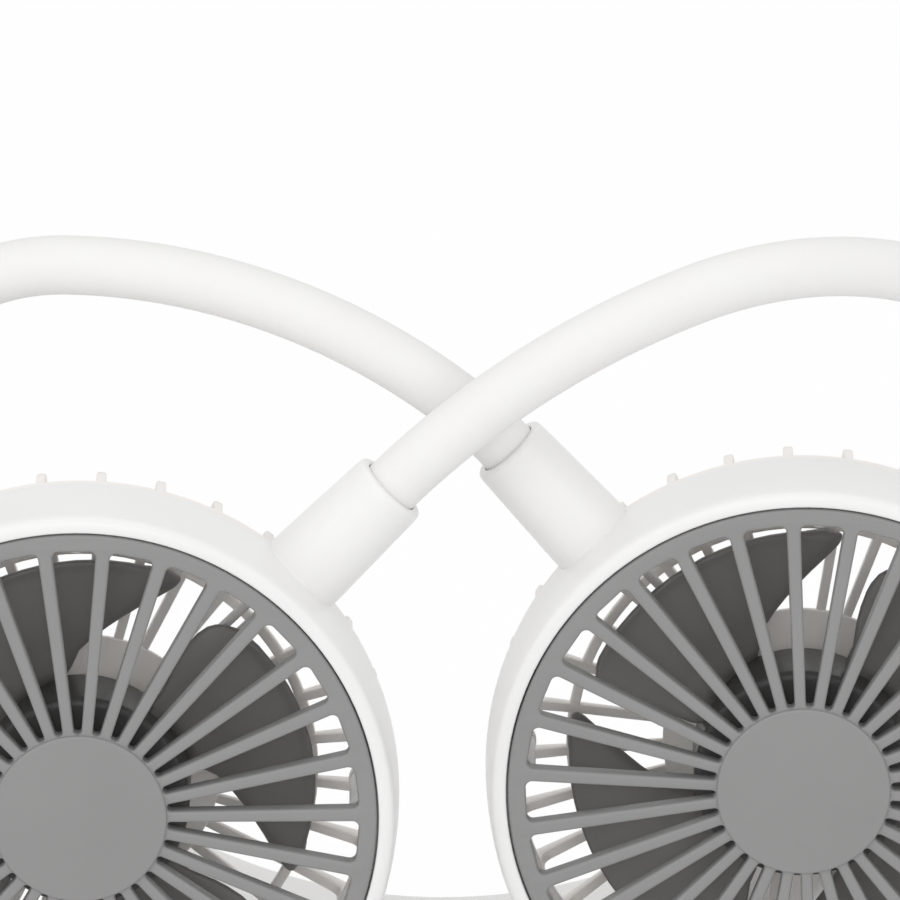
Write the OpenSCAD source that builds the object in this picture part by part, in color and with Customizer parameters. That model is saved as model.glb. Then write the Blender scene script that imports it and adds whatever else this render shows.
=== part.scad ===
// Neck fan: two round fan heads on bendable gooseneck arms, joined by a U-shaped battery band.
// It stands on the heads' rims and on the flat under the band. Origin: middle of that flat. Fans face -Y.

/* [Stance] */
// Half the distance between the two head centres
head_spread = 54.75; // [50:0.25:70]
// How far the left grille face lies in front of the band's middle plane
face_lead = 57; // [50:1:80]
// How much further back the right head stands, so that the arms can cross
head_step = 12.7; // [12.5:0.1:16]

/* [Head casing] */
// Largest radius of the white casing
casing_r = 48.2; // [46:0.1:60]
// Depth of the front casing, from the grille face to its back rim
casing_depth = 16.5; // [14:0.5:24]
// Wall of the casing
casing_wall = 2.4; // [1.6:0.1:3.2]
// Height of the rounded lip over the grille face
lip_h = 0.35; // [0.2:0.05:1]
// Depth behind the casing rim that the vented back shell takes up
back_depth = 10; // [8:0.5:16]
// Number of cooling ribs round the back shell
back_ribs = 32; // [24:1:40]
// Width of a back rib
back_rib_w = 1.5; // [1:0.1:2.5]
// Radius of the closed disc in the middle of the back
back_disc_r = 21; // [17:0.5:26]

/* [Front grille] */
// Outer radius of the grey grille
grille_r = 45; // [40:0.5:56]
// Width of the grille's solid outer ring
grille_ring_w = 2.9; // [2.4:0.1:6]
// Thickness of the grille
grille_t = 2.8; // [2:0.1:4]
// Radius of the plain hub disc
hub_disc_r = 13.2; // [10:0.1:18]
// How far the hub disc stands out of the grille
hub_disc_rise = 0.5; // [0.2:0.1:1.5]
// Number of spokes
spoke_count = 30; // [20:1:36]
// Width of a spoke beside the hub disc
spoke_w_in = 1.6; // [1:0.1:2]
// Width of a spoke beside the outer ring
spoke_w_out = 2.3; // [1.5:0.1:3.5]
// Corner radius at the outer end of a slot
slot_corner_r = 1; // [0.6:0.1:2]
// Angle of the first spoke on the left head
left_spoke_phase = 0.7; // [0:0.1:12]
// Angle of the first spoke on the right head
right_spoke_phase = 8.5; // [0:0.1:12]

/* [Impeller and motor] */
// Radius over the blade tips
impeller_r = 35.3; // [30:0.1:40]
// Radius of the impeller's hub cup
hub_r = 16.5; // [15:0.1:18]
// Wall of the hub cup
hub_wall = 1.6; // [1:0.1:2.5]
// Depth of the hub cup's front face behind the grille face
hub_depth = 7.5; // [5:0.5:9]
// Length of the hub cup
hub_len = 12; // [9:0.5:14]
// Number of blades
blade_count = 4; // [3:1:7]
// Depth of the blades' front edge behind the grille face
blade_front_depth = 12.6; // [11:0.1:15]
// Depth of the blades' back edge behind the grille face
blade_back_depth = 19.4; // [17:0.1:21]
// Thickness of a blade
blade_t = 1.1; // [0.8:0.1:1.8]
// Turn of the left impeller as photographed
left_blade_phase = 0; // [0:0.5:90]
// Turn of the right impeller as photographed
right_blade_phase = 15.5; // [0:0.5:90]
// Radius of the motor can
motor_r = 11; // [9:0.5:12]
// Length of the motor can
motor_len = 8; // [6:0.5:10]
// Radius of the motor shaft
shaft_r = 1; // [0.75:0.05:1.5]

/* [Arm socket] */
// Direction of the left socket in its head, from the horizontal
left_socket_angle = 45.4; // [40:0.2:50]
// Direction of the right socket in its head, from the horizontal
right_socket_angle = 132; // [125:0.2:140]
// Depth of the socket's axis behind the grille face
socket_depth = 15; // [13:0.5:18]
// Distance of the socket's mouth from the head's axis
socket_mouth_r = 67.1; // [62:0.1:76]
// Radius of the socket at its mouth
socket_r = 6.15; // [5.6:0.05:7.5]
// Radius of the socket where it leaves the casing
socket_base_r = 6.7; // [6.2:0.05:8]
// Length of the arm that the socket grips
socket_grip = 13; // [8:0.5:15]

/* [Gooseneck arms] */
// Outer radius of the silicone sheath
sheath_r = 4.5; // [4.2:0.1:5]
// Bore radius of the sheath
sheath_bore_r = 3; // [2.8:0.1:3.2]
// Radius of the bendable steel spine
spine_r = 1.1; // [0.8:0.1:1.2]
// Radius of one insulated lead
lead_r = 0.75; // [0.5:0.05:0.8]
// Left arm: bend radius over its flexing end at the head
left_flex_r = 104; // [80:1:140]
// Left arm: turn over its flexing end at the head
left_flex_a = 8; // [6:0.5:10]
// Left arm: bend radius of the rising stretch
left_rise_r = 104; // [80:1:140]
// Left arm: turn of the rising stretch
left_rise_a = 22; // [18:1:26]
// Left arm: bend radius over the crest
left_crest_r = 54; // [46:1:60]
// Left arm: turn over the crest
left_crest_a = 50; // [44:1:54]
// Right arm: bend radius over its flexing end at the head
right_flex_r = 60; // [50:1:80]
// Right arm: turn over its flexing end at the head
right_flex_a = 13; // [10:0.5:15]
// Right arm: bend radius of the rising stretch
right_rise_r = 88; // [80:1:96]
// Right arm: turn of the rising stretch
right_rise_a = 20; // [16:1:24]
// Right arm: bend radius over the crest
right_crest_r = 88; // [80:1:96]
// Right arm: turn over the crest
right_crest_a = 20; // [16:1:24]
// Left arm: straight run that comes down to the band
left_run_len = 20.1; // [16:0.1:24]
// Right arm: straight run that comes down to the band
right_run_len = 15.8; // [15:0.1:20]
// Part of the last bend that belongs to the flexing end at the band
band_flex_a = 20; // [10:1:30]

/* [Battery band] */
// Radius of the neck side of the band
band_in_r = 82.5; // [76:0.5:88]
// Thickness of the band
band_t = 14; // [13:0.5:16]
// Width of the band
band_w = 24; // [22:0.5:26]
// Rounding of the band's long edges
band_edge_r = 4; // [2:0.5:5]
// Wall of the band's shells
band_wall = 1.8; // [1.4:0.1:2.4]
// Height of the flat that is cut under the band
foot_cut = 1.5; // [1:0.1:1.6]
// Half angle covered by the two long shells
shell_a = 60; // [56:1:62]
// Half angle at which the arms leave the band
band_end_a = 75; // [72:0.5:78]
// Radius of the ball end that carries the arm's boot
ball_r = 7.3; // [7:0.1:8]
// Height of the boot above the ball's middle
boot_top = 14; // [12:0.5:16]
// Radius of the boot at its top
boot_tip_r = 5.3; // [5.1:0.1:6]

/* [Battery and controls] */
// Length of a battery cell
cell_len = 44; // [36:1:46]
// Width of a battery cell
cell_w = 16.5; // [12:0.5:16.5]
// Angle of each battery cell from the bottom
cell_a = 21; // [18:1:22]
// Length of the circuit board
board_len = 30; // [28:1:30]
// Thickness of the circuit board
board_t = 1.2; // [0.8:0.1:1.6]
// Angle of the circuit board from the bottom
board_a = 49.6; // [48:0.2:50]
// Radius of the power button
button_r = 2.9; // [2.4:0.1:3]
// Travel of the power button
button_travel = 0.4; // [0.2:0.05:0.6]
// Width of the charging port's opening
port_w = 9; // [8.4:0.1:9.4]
// Height of the charging port
port_h = 3.3; // [3:0.1:3.6]
// Radius of the indicator light
light_r = 1.2; // [0.8:0.1:1.6]

/* [Fits] */
// Clearance round a moulded part in its seat
fit_gap = 0.15; // [0.1:0.05:0.2]
// Running clearance of the shaft in the motor
shaft_gap = 0.05; // [0.02:0.01:0.1]
// Clearance between bodies that move against each other
run_gap = 0.3; // [0.2:0.05:0.4]

/* [Hidden] */
$fn = 64;

// Which head a module draws, and the values that differ between the two
left = 0;
right = 1;
head_side = [-1, 1];
band_side = [1, -1];
socket_angle = [left_socket_angle, right_socket_angle];
spoke_phase = [left_spoke_phase, right_spoke_phase];
blade_phase = [left_blade_phase, right_blade_phase];
flex_r = [left_flex_r, right_flex_r];
flex_a = [left_flex_a, right_flex_a];
rise_r = [left_rise_r, right_rise_r];
rise_a = [left_rise_a, right_rise_a];
crest_r = [left_crest_r, right_crest_r];
crest_a = [left_crest_a, right_crest_a];
run_len = [left_run_len, right_run_len];
face_y = [-face_lead, head_step - face_lead];
head_z = casing_r;

// One overrun for every cut
over = 1;

// Casing
lip_r = grille_r + fit_gap;
ledge_w = 2;
ledge_t = 1.6;
casing_in_r = casing_r - casing_wall;
rim_taper = 0.3;
rib_tip_r = casing_r - rim_taper / 2;
rib_drop = 0.3;
rib_shoulder = 2;
rib_turn = [1.4, 0];
flange_t = 1.8;
flange_w = 4.4;
spigot_len = 2;
spigot_t = 1.4;
back_t = 1.8;
back_crown = 3.6;
mid_ring_r = 35;
mid_ring_w = 1.6;
boss_r = 2.2;
boss_ring_r = casing_in_r - boss_r - 0.35 * boss_r;
screw_r = 1.1;
screw_head_r = 2.1;
screw_head_h = 1.5;
screw_len = 8;
screw_gap = 0.04;
screw_turns = [45, 135, 225, 315];

// Motor, shaft and seat
back_z = -(casing_depth + back_depth);
disc_front_z = back_z + back_t;
motor_front_z = disc_front_z + motor_len;
motor_cup_t = 1.4;
motor_cup_len = 5;
shaft_hub_r = 3;
motor_floor = 0.6;
motor_neck_r = 3.4;
motor_neck_len = 0.8;

// Sleeve that joins an arm to its head
socket_in_r = casing_in_r - ledge_t;
socket_flange_r = socket_base_r + 0.9;
socket_flange_t = 1.4;
socket_lip = 0.8;
lead_bore_r = 2.7;

// The two insulated leads and the spine inside the sheath, across the arm: outwards, sideways
spine_at = [1.35, 0];
seam_len = 0.4;
seam_rise = 0.02;
bead_r = 1.5 * lead_r;
bead_trim = 0.55 * bead_r;
lead_at = [[-1.15, 1.2], [-1.15, -1.2]];

// Band
band_out_r = band_in_r + band_t;
band_mid_r = band_in_r + band_t / 2;
band_z = band_out_r - foot_cut;
foot_wall = 1;
cavity_in_r = band_in_r + band_wall;
cavity_out_r = band_out_r - foot_cut - foot_wall;
cavity_half_w = band_w / 2 - band_wall;
cavity_edge_r = 0.3 * band_edge_r;
corner_steps = 7;
cap_end_w = 2 * ball_r - over;
lead_run = 5;
band_lead_y = cavity_half_w - lead_r - run_gap;
band_screw_a = [-54, -38, 38];
band_screw_y = -band_w / 4;
band_boss_r = 2.3;
board_y = 3.3;
port_len = band_w / 2 - board_y - board_t;
port_at = -board_len * 0.3;
button_at = board_len * 0.27;
switch_w = 6;
switch_h = 3.4;
button_skirt = 0.5;
button_rise = 0.7;

// The board and cells lie between the walls with a small gap at the middle of their inner side
seat_r = cavity_in_r + run_gap;
cell_t = sqrt(pow(cavity_out_r - run_gap, 2) - pow(cell_len / 2, 2)) - seat_r;
board_w = sqrt(pow(cavity_out_r - run_gap, 2) - pow(board_len / 2, 2)) - seat_r;

// Vectors and the arm's route. Each arm lies in one plane: along its socket, then bending to the band
function unit(v) = v / norm(v);
function socket_dir(s) = [cos(socket_angle[s]), 0, sin(socket_angle[s])];
function head_at(s) = [head_side[s] * head_spread, face_y[s], head_z];
function mouth(s) = head_at(s) + [0, socket_depth, 0] + socket_mouth_r * socket_dir(s);
function on_band(a, r) = [r * sin(a), 0, band_z - r * cos(a)];
function arm_foot(s) = on_band(band_side[s] * band_end_a, band_mid_r);
function route_n(s) = unit(cross(socket_dir(s), arm_foot(s) - mouth(s)));
function route_w(s) = cross(route_n(s), socket_dir(s));
function turned(p, h, r, a) = p + r * [sin(h + a) - sin(h), cos(h) - cos(h + a)];
function ahead(p, h, d) = p + d * [cos(h), sin(h)];
function in_world(s, p) = mouth(s) + p[0] * socket_dir(s) + p[1] * route_w(s);

// Headings and points along the route, in the arm's plane, from the socket's mouth
function rise_h(s) = flex_a[s];
function crest_h(s) = rise_h(s) + rise_a[s];
function last_h(s) = crest_h(s) + crest_a[s];
function rise_p(s) = turned([0, 0], 0, flex_r[s], flex_a[s]);
function crest_p(s) = turned(rise_p(s), rise_h(s), rise_r[s], rise_a[s]);
function last_p(s) = turned(crest_p(s), crest_h(s), crest_r[s], crest_a[s]);

// The last bend and its heading are solved so that the straight run after it reaches the band
function foot_p(s) = [(arm_foot(s) - mouth(s)) * socket_dir(s), (arm_foot(s) - mouth(s)) * route_w(s)];
function last_gap(s) = foot_p(s) - last_p(s);
function last_r(s) =
  (last_gap(s) * last_gap(s) - pow(run_len[s], 2)) / (2 * last_gap(s) * [-sin(last_h(s)), cos(last_h(s))]);
function last_middle(s) = ahead(last_p(s), last_h(s) + 90, last_r(s));
function end_a(s) =
  atan2(foot_p(s)[1] - last_middle(s)[1], foot_p(s)[0] - last_middle(s)[0]) + 90 - atan2(run_len[s], last_r(s));
function last_turn(s) = end_a(s) - last_h(s);
function flex_h(s) = end_a(s) - band_flex_a;
function flex_p(s) = turned(last_p(s), last_h(s), last_r(s), last_turn(s) - band_flex_a);
function run_p(s) = turned(last_p(s), last_h(s), last_r(s), last_turn(s));

echo(left_arm = [end_a(left), last_r(left)], right_arm = [end_a(right), last_r(right)]);
echo(left_mouth = mouth(left), right_mouth = mouth(right));
echo(left_flex_end = in_world(left, rise_p(left)), right_flex_end = in_world(right, rise_p(right)));
echo(left_run = in_world(left, run_p(left)), right_run = in_world(right, run_p(right)));
echo(left_low = in_world(left, flex_p(left)), right_low = in_world(right, flex_p(right)));
echo(left_foot = arm_foot(left), right_foot = arm_foot(right));

// A head's own frame: x right, y up, z out of the grille face
module at_head(s) {
  translate(head_at(s)) rotate([90, 0, 0]) children();
}

// Along a head's socket: z runs out through its mouth
module at_socket(s) {
  at_head(s) translate([0, 0, -socket_depth]) rotate([0, 0, socket_angle[s]]) rotate([0, 90, 0]) children();
}

// A ring or disc between two depths
module disc_between(r, z0, z1) {
  translate([0, 0, z0]) cylinder(h = z1 - z0, r = r);
}

module ring_between(r_in, r_out, z0, z1) {
  difference() {
    disc_between(r_out, z0, z1);
    disc_between(r_in, z0 - over, z1 + over);
  }
}

// One slot of the grille, between two spokes, with round corners at its outer end
function corner(c, r, a0, a1, n) = [for (i = [0:n]) c + r * [cos(a0 + (a1 - a0) * i / n), sin(a0 + (a1 - a0) * i / n)]];

module grille_slot() {
  half = 180 / spoke_count;
  r0 = hub_disc_r + 0.8 * hub_disc_rise;
  r1 = grille_r - grille_ring_w;
  y0 = r0 * sin(half) - spoke_w_in / 2;
  y1 = r1 * sin(half) - spoke_w_out / 2;
  c = slot_corner_r;
  polygon(concat(
    corner([r0 + y0, 0], y0, 90, 270, 8),
    corner([r1 - c, c - y1], c, 270, 360, 4),
    corner([r1 - c, y1 - c], c, 0, 90, 4)
  ));
}

module front_grille(s) {
  color("dimgray") at_head(s) {
    difference() {
      rotate_extrude() polygon([
        [0, -grille_t],
        [grille_r - ledge_w + fit_gap, -grille_t],
        [grille_r, -grille_t],
        [grille_r, -lip_h],
        [grille_r - lip_h, 0],
        [hub_disc_r + hub_disc_rise / 2, 0],
        [hub_disc_r, hub_disc_rise / 2],
        [hub_disc_r - hub_disc_rise, hub_disc_rise],
        [0, hub_disc_rise]
      ]);
      for (i = [0:spoke_count - 1])
        rotate([0, 0, spoke_phase[s] + (i + 0.5) * 360 / spoke_count])
          translate([0, 0, -grille_t - over]) linear_extrude(grille_t + 2 * over) grille_slot();
    }
  }
}

module front_casing(s) {
  seat_z = -grille_t;
  lip_mid = (lip_r + casing_r) / 2;
  color("white") at_head(s) difference() {
    union() {
      rotate_extrude() polygon([
        [lip_r, seat_z],
        [lip_r, -lip_h],
        [lip_r + lip_h, 0],
        [lip_mid - lip_h / 2, lip_h],
        [casing_r - 3 * lip_h, 0],
        [casing_r - 2 * lip_h, -2 * lip_h],
        [casing_r - 1.3 * lip_h, -0.12 * casing_depth],
        [casing_r - 0.5 * lip_h, -0.35 * casing_depth],
        [casing_r, -0.65 * casing_depth],
        [casing_r, -0.85 * casing_depth],
        [casing_r - rim_taper, -casing_depth],
        [casing_in_r, -casing_depth],
        [casing_in_r, seat_z - ledge_t - ledge_w],
        [lip_r - ledge_w, seat_z - ledge_t],
        [lip_r - ledge_w, seat_z]
      ]);
      for (a = screw_turns)
        intersection() {
          rotate([0, 0, socket_angle[s] + a]) translate([boss_ring_r, 0, -casing_depth])
            cylinder(h = casing_depth + seat_z - ledge_t / 2, r = boss_r);
          disc_between(casing_in_r + casing_wall / 2, -casing_depth, 0);
        }
    }
    for (a = screw_turns)
      rotate([0, 0, socket_angle[s] + a]) translate([boss_ring_r, 0, -casing_depth - over])
        cylinder(h = screw_len + over, r = screw_r + screw_gap);
    translate([0, 0, -socket_depth]) rotate([0, 0, socket_angle[s]]) rotate([0, 90, 0])
      cylinder(h = socket_mouth_r, r = socket_base_r + fit_gap);
  }
}

// Outline of one rib from the flange over the rim to the middle disc: radius, depth
rib_r = rib_tip_r - rib_drop;

function rib_outline() = [
  [rib_tip_r - flange_w, -casing_depth - flange_t / 2],
  [rib_r, -casing_depth - flange_t / 2],
  [rib_r, back_z + rib_shoulder + 0.3 * back_t],
  [rib_r - 0.15 * back_t, back_z + rib_shoulder],
  [rib_r - 0.45 * back_t, back_z + rib_shoulder - 0.3 * back_t],
  [mid_ring_r, back_z + 0.3 * back_crown],
  [back_disc_r - over, back_z + rib_drop],
  [back_disc_r - over, disc_front_z - rib_drop],
  [mid_ring_r, back_z + 0.3 * back_crown + back_t],
  [rib_tip_r - flange_w, back_z + 0.75 * back_crown + back_t]
];

module rear_shell(s) {
  flange_z = -casing_depth - flange_t;
  color("white") at_head(s) rotate([0, 0, socket_angle[s]]) difference() {
    union() {
      ring_between(rib_tip_r - flange_w, rib_tip_r, flange_z, -casing_depth);
      ring_between(casing_in_r - fit_gap - spigot_t, casing_in_r - fit_gap,
        -casing_depth - flange_t / 2, spigot_len - casing_depth);
      for (i = [0:back_ribs - 1])
        rotate([0, 0, rib_turn[s] + (i + 0.5) * 360 / back_ribs])
          rotate([90, 0, 0]) translate([0, 0, -back_rib_w / 2]) linear_extrude(back_rib_w) polygon(rib_outline());
      ring_between(mid_ring_r - mid_ring_w / 2, mid_ring_r + mid_ring_w / 2,
        back_z + 0.4 * back_crown, back_z + 0.3 * back_crown + 0.8 * back_t);
      rotate_extrude() polygon([
        [0, back_z],
        [back_disc_r - back_t / 2, back_z],
        [back_disc_r, back_z + back_t / 2],
        [back_disc_r, disc_front_z],
        [0, disc_front_z]
      ]);
      ring_between(motor_r + fit_gap, motor_r + fit_gap + motor_cup_t, disc_front_z - back_t / 2,
        disc_front_z + motor_cup_len);
      for (a = screw_turns)
        rotate([0, 0, a]) translate([boss_ring_r, 0, flange_z])
          cylinder(h = flange_t, r = boss_r + fit_gap);
    }
    for (a = screw_turns) {
      rotate([0, 0, a]) translate([boss_ring_r, 0, flange_z - over])
        cylinder(h = flange_t + 2 * over, r = screw_r + screw_gap);
      rotate([0, 0, a]) translate([boss_ring_r, 0, -casing_depth])
        cylinder(h = spigot_len + over, r = boss_r + fit_gap);
    }
    translate([0, 0, -socket_depth]) rotate([0, 90, 0]) {
      cylinder(h = socket_mouth_r, r = socket_base_r + fit_gap);
      translate([0, 0, socket_in_r - socket_flange_t - fit_gap])
        cylinder(h = socket_flange_t + 2 * fit_gap, r = socket_flange_r + fit_gap);
    }
    translate([motor_r / 2, -lead_bore_r, disc_front_z + rib_drop])
      cube([motor_r, 2 * lead_bore_r, motor_cup_len + over]);
  }
}

// Blade outline: radius as shares of the tip radius, with the angles of its two edges
blade_shares = [0.46, 0.58, 0.70, 0.82, 0.92, 0.97, 1];
blade_front_a = [50, 52, 54.5, 55, 53.5, 50.5, 45];
blade_back_a = [10, 1.5, -9.5, -18, -23.5, -25.2, -25];
blade_steps = 8;

function blade_point(i, j, side) =
  let (
    r = blade_shares[i] * impeller_r,
    t = j / blade_steps,
    a = blade_front_a[i] + t * (blade_back_a[i] - blade_front_a[i]),
    z = -blade_front_depth + t * (blade_front_depth - blade_back_depth)
  )
  [r * cos(a), r * sin(a), z + side * blade_t / 2];

module blade() {
  rows = len(blade_shares);
  cols = blade_steps + 1;
  sheet = rows * cols;
  points = [for (side = [1, -1]) for (i = [0:rows - 1]) for (j = [0:cols - 1]) blade_point(i, j, side)];
  quads = [for (i = [0:rows - 2]) for (j = [0:cols - 2]) [i * cols + j, (i + 1) * cols + j, (i + 1) * cols + j + 1,
    i * cols + j + 1]];
  rim = concat(
    [for (j = [0:cols - 1]) j],
    [for (i = [1:rows - 1]) i * cols + cols - 1],
    [for (j = [cols - 2:-1:0]) (rows - 1) * cols + j],
    [for (i = [rows - 2:-1:1]) i * cols]
  );
  polyhedron(points, concat(
    [for (q = quads) [q[0], q[1], q[2]]],
    [for (q = quads) [q[0], q[2], q[3]]],
    [for (q = quads) [q[2] + sheet, q[1] + sheet, q[0] + sheet]],
    [for (q = quads) [q[3] + sheet, q[2] + sheet, q[0] + sheet]],
    [for (k = [0:len(rim) - 1]) let (a = rim[k], b = rim[(k + 1) % len(rim)]) [a, b, b + sheet]],
    [for (k = [0:len(rim) - 1]) let (a = rim[k], b = rim[(k + 1) % len(rim)]) [a, b + sheet, a + sheet]]
  ));
}

module impeller(s) {
  front_z = -hub_depth;
  color([0.27, 0.26, 0.25]) at_head(s) difference() {
    union() {
      rotate_extrude() polygon([
        [0, front_z],
        [hub_r - hub_wall, front_z],
        [hub_r - 0.3 * hub_wall, front_z - 0.3 * hub_wall],
        [hub_r, front_z - hub_wall],
        [hub_r, front_z - hub_len],
        [hub_r - hub_wall, front_z - hub_len],
        [hub_r - hub_wall, front_z - hub_wall],
        [0, front_z - hub_wall]
      ]);
      disc_between(shaft_hub_r, motor_front_z + motor_neck_len + run_gap, front_z);
      for (i = [0:blade_count - 1])
        rotate([0, 0, blade_phase[s] + i * 360 / blade_count]) blade();
    }
    disc_between(shaft_r, motor_front_z, front_z - hub_wall / 2);
  }
}

module motor(s) {
  color("silver") at_head(s) difference() {
    union() {
      disc_between(motor_r, disc_front_z, motor_front_z);
      disc_between(motor_neck_r, motor_front_z - over, motor_front_z + motor_neck_len);
    }
    disc_between(shaft_r + shaft_gap, disc_front_z + motor_floor, motor_front_z + motor_neck_len + over);
  }
}

module motor_shaft(s) {
  color("gainsboro") at_head(s) disc_between(shaft_r, disc_front_z + motor_floor + run_gap, -hub_depth - hub_wall / 2);
}

module arm_socket(s) {
  grip_z = socket_mouth_r - socket_grip - fit_gap;
  color("white") at_socket(s) difference() {
    rotate_extrude() polygon([
      [0, socket_in_r - socket_flange_t],
      [socket_flange_r, socket_in_r - socket_flange_t],
      [socket_flange_r, socket_in_r],
      [socket_base_r, socket_in_r],
      [socket_base_r, casing_r + socket_lip],
      [socket_r, socket_mouth_r - 1.2 * socket_lip],
      [socket_r - 0.25 * socket_lip, socket_mouth_r - 0.4 * socket_lip],
      [socket_r - socket_lip, socket_mouth_r],
      [0, socket_mouth_r]
    ]);
    translate([0, 0, grip_z]) cylinder(h = socket_grip + over, r = sheath_r + fit_gap);
    translate([0, 0, socket_in_r - socket_flange_t - over])
      cylinder(h = grip_z - socket_in_r + socket_flange_t + 2 * over, r = lead_bore_r);
  }
}

module casing_screws(s) {
  flange_z = -casing_depth - flange_t;
  color("silver") at_head(s)
    for (a = screw_turns) rotate([0, 0, socket_angle[s] + a]) translate([boss_ring_r, 0, 0]) difference() {
      union() {
        disc_between(screw_r, flange_z - over / 2, flange_z + screw_len);
        disc_between(screw_head_r, flange_z - screw_head_h, flange_z);
      }
      for (turn = [0, 90]) rotate([0, 0, turn])
        translate([-0.6 * screw_head_r, -0.15 * screw_head_r, flange_z - screw_head_h - over])
          cube([1.2 * screw_head_r, 0.3 * screw_head_r, over + screw_head_h / 2]);
    }
}

// Leads inside the head: on from the arm's, back to the ribs, then inwards over the back disc to the motor
function lead_start(s, k) = in_world(s, [-socket_grip - run_gap, -lead_at[k][0]]) + lead_at[k][1] * route_n(s);
function lead_spot(s, k, r, z) =
  head_at(s) + [0, -z, 0] + r * socket_dir(s) + lead_at[k][1] * [-sin(socket_angle[s]), 0, cos(socket_angle[s])];

module head_leads(s) {
  turn_r = socket_in_r - socket_flange_t - 2 * lead_r;
  rib_z = back_z + 0.75 * back_crown + back_t + bead_r + fit_gap;
  color("gainsboro") for (k = [0, 1]) lead_path([
    lead_start(s, k),
    lead_spot(s, k, turn_r, -socket_depth),
    lead_spot(s, k, turn_r, rib_z),
    lead_spot(s, k, motor_r + fit_gap, disc_front_z + 2 * lead_r)
  ], false, $fn = 12);
}

// The arm's own frame: x along the socket, y towards the inside of the bend
module in_route(s) {
  t = socket_dir(s);
  w = route_w(s);
  n = route_n(s);
  m = mouth(s);
  multmatrix([[t[0], w[0], n[0], m[0]], [t[1], w[1], n[1], m[1]], [t[2], w[2], n[2], m[2]], [0, 0, 0, 1]])
    children();
}

// The ends that are joined stop short of the change of bend, where a seam ring carries the rod on
module arc_rod(p, h, r, a, at, rod_r, from_seam, to_seam) {
  trim_a = asin(seam_len / 4 / r);
  start_a = from_seam ? trim_a : 0;
  translate([p[0] - r * sin(h), p[1] + r * cos(h), 0]) rotate([0, 0, h - 90 + start_a])
    rotate_extrude(angle = a - start_a - (to_seam ? trim_a : 0)) translate([r + at[0], at[1]]) circle(rod_r);
}

module run_rod(p, h, d, at, rod_r) {
  translate([p[0], p[1], 0]) rotate([0, 0, h]) translate([0, -at[0], at[1]]) rotate([0, 90, 0])
    cylinder(h = d, r = rod_r);
}

module seam_rod(p, h, at, rod_r) {
  run_rod(ahead(p, h, -seam_len / 2), h, seam_len, at, rod_r + seam_rise);
}

// The three stretches of an arm, each for a rod of any radius set off its centre line
module upper_stretch(s, at, rod_r) {
  in_route(s) {
    run_rod([-socket_grip, 0], 0, socket_grip - seam_len / 4, at, rod_r);
    arc_rod([0, 0], 0, flex_r[s], flex_a[s], at, rod_r, true, false);
    seam_rod([0, 0], 0, at, rod_r);
  }
}

module middle_stretch(s, at, rod_r) {
  in_route(s) {
    arc_rod(rise_p(s), rise_h(s), rise_r[s], rise_a[s], at, rod_r, false, true);
    arc_rod(crest_p(s), crest_h(s), crest_r[s], crest_a[s], at, rod_r, true, true);
    arc_rod(last_p(s), last_h(s), last_r(s), last_turn(s) - band_flex_a, at, rod_r, true, false);
    seam_rod(crest_p(s), crest_h(s), at, rod_r);
    seam_rod(last_p(s), last_h(s), at, rod_r);
  }
}

module lower_stretch(s, at, rod_r) {
  in_route(s) {
    arc_rod(flex_p(s), flex_h(s), last_r(s), band_flex_a, at, rod_r, false, true);
    run_rod(ahead(run_p(s), end_a(s), seam_len / 4), end_a(s), run_len[s] - seam_len / 4, at, rod_r);
    seam_rod(run_p(s), end_a(s), at, rod_r);
  }
}

module upper_flex(s) {
  color("white") difference() {
    upper_stretch(s, [0, 0], sheath_r);
    upper_stretch(s, [0, 0], sheath_bore_r);
  }
}

module arm_sheath(s) {
  color("white") difference() {
    middle_stretch(s, [0, 0], sheath_r);
    middle_stretch(s, [0, 0], sheath_bore_r);
  }
}

module lower_flex(s) {
  color("white") difference() {
    lower_stretch(s, [0, 0], sheath_r);
    lower_stretch(s, [0, 0], sheath_bore_r);
  }
}

module upper_spine(s) {
  color("gray") upper_stretch(s, spine_at, spine_r);
}

module arm_spine(s) {
  color("gray") middle_stretch(s, spine_at, spine_r);
}

module lower_spine(s) {
  color("gray") lower_stretch(s, spine_at, spine_r);
}

module upper_leads(s) {
  color("gainsboro") for (at = lead_at) upper_stretch(s, at, lead_r);
}

module arm_leads(s) {
  color("gainsboro") for (at = lead_at) middle_stretch(s, at, lead_r);
}

module lower_leads(s) {
  color("gainsboro") for (at = lead_at) lower_stretch(s, at, lead_r);
}

// Along the arm's last run, z up the arm, from the middle of the ball end
module at_foot(s) {
  in_route(s) translate([foot_p(s)[0], foot_p(s)[1], 0]) rotate([0, 0, end_a(s)]) rotate([0, -90, 0]) children();
}

module arm_boot(s) {
  seat = 0.55 * ball_r;
  base_r = sqrt(ball_r * ball_r - seat * seat);
  color("white") at_foot(s) difference() {
    rotate_extrude() polygon([
      [0, seat],
      [base_r, seat],
      [base_r - fit_gap, seat + 0.35 * (boot_top - seat)],
      [boot_tip_r, seat + 0.85 * (boot_top - seat)],
      [boot_tip_r - fit_gap, boot_top],
      [0, boot_top]
    ]);
    cylinder(h = boot_top + over, r = sheath_r + fit_gap);
  }
}

// The band's frame: arcs are measured from the bottom, positive towards +X
module band_arc(a0, a1) {
  translate([0, 0, band_z]) rotate([90, 0, 0]) rotate([0, 0, a0 - 90]) rotate_extrude(angle = a1 - a0) children();
}

// A place on the band: x along it, y across it, z towards the neck, from radius r
module at_band(a, r) {
  translate([0, 0, band_z]) rotate([0, -a, 0]) translate([0, 0, -r]) children();
}

// Half of a rounded section, from radius r0 out or in to r1
module half_section(r0, r1, half_w, c) {
  way = r1 > r0 ? 1 : -1;
  x1 = abs(r1 - r0) - c;
  flat_y = half_w - c;
  outline = concat([[0, -half_w]], corner([x1, -flat_y], c, -90, 0, corner_steps),
    corner([x1, flat_y], c, 0, 90, corner_steps), [[0, half_w]]);
  polygon([for (p = outline) [r0 + way * p[0], p[1]]]);
}

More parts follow.
